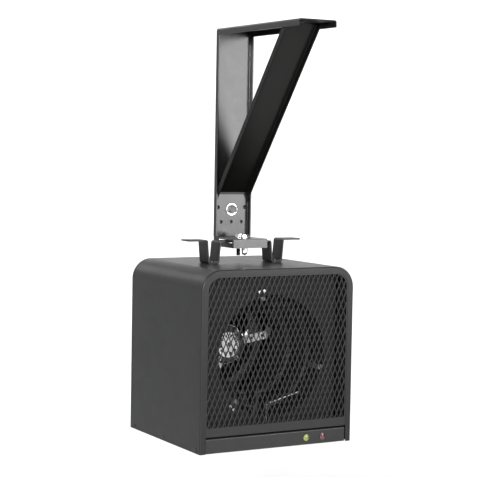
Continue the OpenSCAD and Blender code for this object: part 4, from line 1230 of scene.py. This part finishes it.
def gland():
    gx, gz = 95.0, -CH + 13.4
    bm = bmesh.new()
    hex_head(bm, (gx, BY, gz), (0, 1, 0), 21.0, 4.6, (0, 0, 1), r_in=6.6, both=True)
    def wave(r, h, t):
        return r - (0.4 * max(0.0, cos(12 * t)) if 1.5 < h < 9.0 and r > 9 else 0.0)
    prof = fillet([(6.5, 0), (10.0, 0), (10.0, 10.0), (7.6, 13.3), (6.5, 13.3)], [0, 0.6, 2.5, 1.2, 0], 6)
    pr = []
    for a, b in zip(prof, prof[1:]):
        n = max(1, int((b - a).length / 1.5))
        pr += [a.lerp(b, k / n) for k in range(n)]
    pr.append(prof[-1])
    lathe(bm, [(p.x, p.y) for p in pr], (gx, BY + 4.65, gz), (0, 1, 0), 96, wave)
    lathe(bm, [(6.5, 0), (9.0, 0), (9.0, 12.0), (6.5, 12.0)], (gx, BY - 12, gz), (0, 1, 0), 48)
    ob = at_heater(obj_from(bm, "v_cable_gland"))
    done(ob, M["black"], "cable_gland", smooth=35)


# ------------------------------------------------------------------ build
ceiling_arm()
arm_brace()
swivel_tray()
bracket_bolts()
hanger()
cabinet()
control_panel()
lamps()
grille()
fins()
bulb()
plate_screws()
fan()
knob()
gland()

for n, m, w in (("base_pan", "cabinet", 0.3), ("rear_panel", "cabinet", 0.3), ("front_frame", "frame", 0.3), ("orifice_plate", "inner", 0.35),
                ("air_duct", "duct", 0.25), ("partition_shelf", "inner", 0.3), ("fan_shroud", "duct", 0.3),
                ("motor_rear_bell", "alloy", 0.35), ("motor_shell", "dull_and_shade", 0.3), ("element_brackets", "sheetm", 0.25),
                ("terminal_block", "ivory", 0.4), ("thermostat_body", "sheetm", 0.5), ("limit_switch", "black", 0.3), ("lamp_bodies", "black", 0.2),
                ("terminal_bushings", "ceramic", 0.5), ("fan_hub_screw", "black_screw", 0.4), ("motor_bolts", "zinc", 0.3),
                ("arm_screws", "zinc", 0.3), ("strap_nuts", "zinc", 0.2), ("gland_nut", "black", 0.3)):
    refine(n, M[m], w)
front_bell()
refine("motor_arms", M["plate_zinc"], 0.3)

for n, m in (("heating_element_front", "element"), ("heating_element_rear", "element"), ("lead_wires", "wire"), ("motor_stator", "stator"),
             ("motor_bearings", "bronze"), ("motor_rotor", "ground"), ("motor_shaft", "ground"), ("rear_guard", "nickel")):
    keep(n, M[m])

# ------------------------------------------------------------------ stage
FLOOR = -1.45


def stage():
    bm = bmesh.new()
    # floor that curves up into a wall behind, seen from the camera's side
    prof = [(-9.0, 0.0), (3.5, 0.0)]
    for k in range(1, 13):
        a = radians(90 * k / 12)
        prof.append((3.5 + 3.0 * sin(a), 3.0 * (1 - cos(a))))
    prof.append((6.5, 9.0))
    rows = [[bm.verts.new((x, y, z)) for x in (-14.0, 14.0)] for y, z in prof]
    for a, b in zip(rows, rows[1:]):
        bm.faces.new((a[0], a[1], b[1], b[0]))
    me = bpy.data.meshes.new("studio_floor")
    bm.to_mesh(me)
    bm.free()
    me.polygons.foreach_set("use_smooth", [True] * len(me.polygons))
    ob = bpy.data.objects.new("studio_floor", me)
    ob.location = (0, 0, FLOOR)
    ob.rotation_euler = (0, 0, radians(-29.6))
    scene.collection.objects.link(ob)
    m, nt, b, co = tree("studio_paper")
    n = noise(nt, co, 3.0, 2)
    nt.links.new(mix(nt, n, (0.86, 0.86, 0.86), (0.89, 0.89, 0.89)), b.inputs["Base Color"])
    b.inputs["Roughness"].default_value = 0.9
    b.inputs["Specular IOR Level"].default_value = 0.1
    me.materials.append(m)


def world():
    w = bpy.data.worlds.new("studio")
    scene.world = w
    w.use_nodes = True
    nt = w.node_tree
    nt.nodes.clear()
    out = nt.nodes.new("ShaderNodeOutputWorld")
    bg = nt.nodes.new("ShaderNodeBackground")
    bg.inputs["Strength"].default_value = 1.0
    nt.links.new(bg.outputs[0], out.inputs[0])
    tc = nt.nodes.new("ShaderNodeTexCoord")
    sp = nt.nodes.new("ShaderNodeSeparateXYZ")
    nt.links.new(tc.outputs["Generated"], sp.inputs[0])
    up = span(nt, sp.outputs["Z"], 0.52, 0.78, 0, 1)
    nt.links.new(mix(nt, up, (1.0, 1.0, 1.0), (0.04, 0.04, 0.04)), bg.inputs["Color"])


def area(name, at, to, size, power, size_y=None):
    l = bpy.data.lights.new(name, "AREA")
    l.energy = power
    l.size = size
    if size_y:
        l.shape = "RECTANGLE"
        l.size_y = size_y
    o = bpy.data.objects.new(name, l)
    o.location = at
    d = Vector(to) - Vector(at)
    o.rotation_mode = "QUATERNION"
    o.rotation_quaternion = d.to_track_quat("-Z", "Y")
    scene.collection.objects.link(o)
    return o


def black_card(name, at, along, wide, high):
    """Studio flag that only shows as a dark edge in reflections."""
    d = Vector(along).normalized()
    c, k = Vector(at), Vector((0, 0, high / 2))
    d = Vector((-d.y, d.x, 0)) * (wide / 2)
    n = 8
    bm = bmesh.new()
    rows = [[bm.verts.new(c + d * (2 * i / n - 1) + k * (2 * j / n - 1)) for j in range(n + 1)] for i in range(n + 1)]
    for i in range(n):
        for j in range(n):
            bm.faces.new((rows[i][j], rows[i + 1][j], rows[i + 1][j + 1], rows[i][j + 1]))
    ob = obj_from(bm, name)
    m, nt, b, co = tree(name)
    nt.links.new(mix(nt, noise(nt, co, 20.0, 2), (0.010, 0.010, 0.010), (0.016, 0.016, 0.016)), b.inputs["Base Color"])
    b.inputs["Roughness"].default_value = 0.9
    b.inputs["Specular IOR Level"].default_value = 0.1
    ob.data.materials.append(m)
    ob.visible_camera = False


def camera():
    f, yaw, pitch, roll = 1474.3, radians(29.64), radians(-3.58), radians(1.00)
    c = Vector((-1411.9, -2393.8, -228.8)) * 0.001
    fwd = Vector((sin(yaw) * cos(pitch), cos(yaw) * cos(pitch), sin(pitch)))
    right = Vector((cos(yaw), -sin(yaw), 0))
    up = right.cross(fwd)
    r2 = right * cos(roll) + up * sin(roll)
    u2 = -right * sin(roll) + up * cos(roll)
    cam = bpy.data.cameras.new("camera")
    cam.sensor_width = 36.0
    cam.lens = f / 500.0 * 36.0
    cam.clip_start, cam.clip_end = 0.05, 60.0
    o = bpy.data.objects.new("camera", cam)
    o.matrix_world = Matrix((
        (r2.x, u2.x, -fwd.x, c.x), (r2.y, u2.y, -fwd.y, c.y), (r2.z, u2.z, -fwd.z, c.z), (0, 0, 0, 1)))
    scene.collection.objects.link(o)
    scene.camera = o


stage()
world()
area("softbox_right", (0.92, -1.5, -0.12), (0.0, 0.165, -0.12), 0.6, 26.0, 1.0)
area("front_fill", (-1.75, -2.2, 0.35), (0.05, 0.15, -0.6), 0.45, 200.0)
for sx in (-1, 1):
    a = radians(-29.6)
    px, py = sx * 3.0, 2.6
    qx, qy = sx * 0.3, 6.0
    area("backdrop_%d" % sx, (px * cos(a) - py * sin(a), px * sin(a) + py * cos(a), 1.4), (qx * cos(a) - qy * sin(a), qx * sin(a) + qy * cos(a), -0.8), 1.2, 90.0)
black_card("card_right", (0.97, 0.05, -0.62), (0.93, 0.36, 0.0), 1.1, 0.9)
camera()
scene.view_settings.view_transform = "Standard"
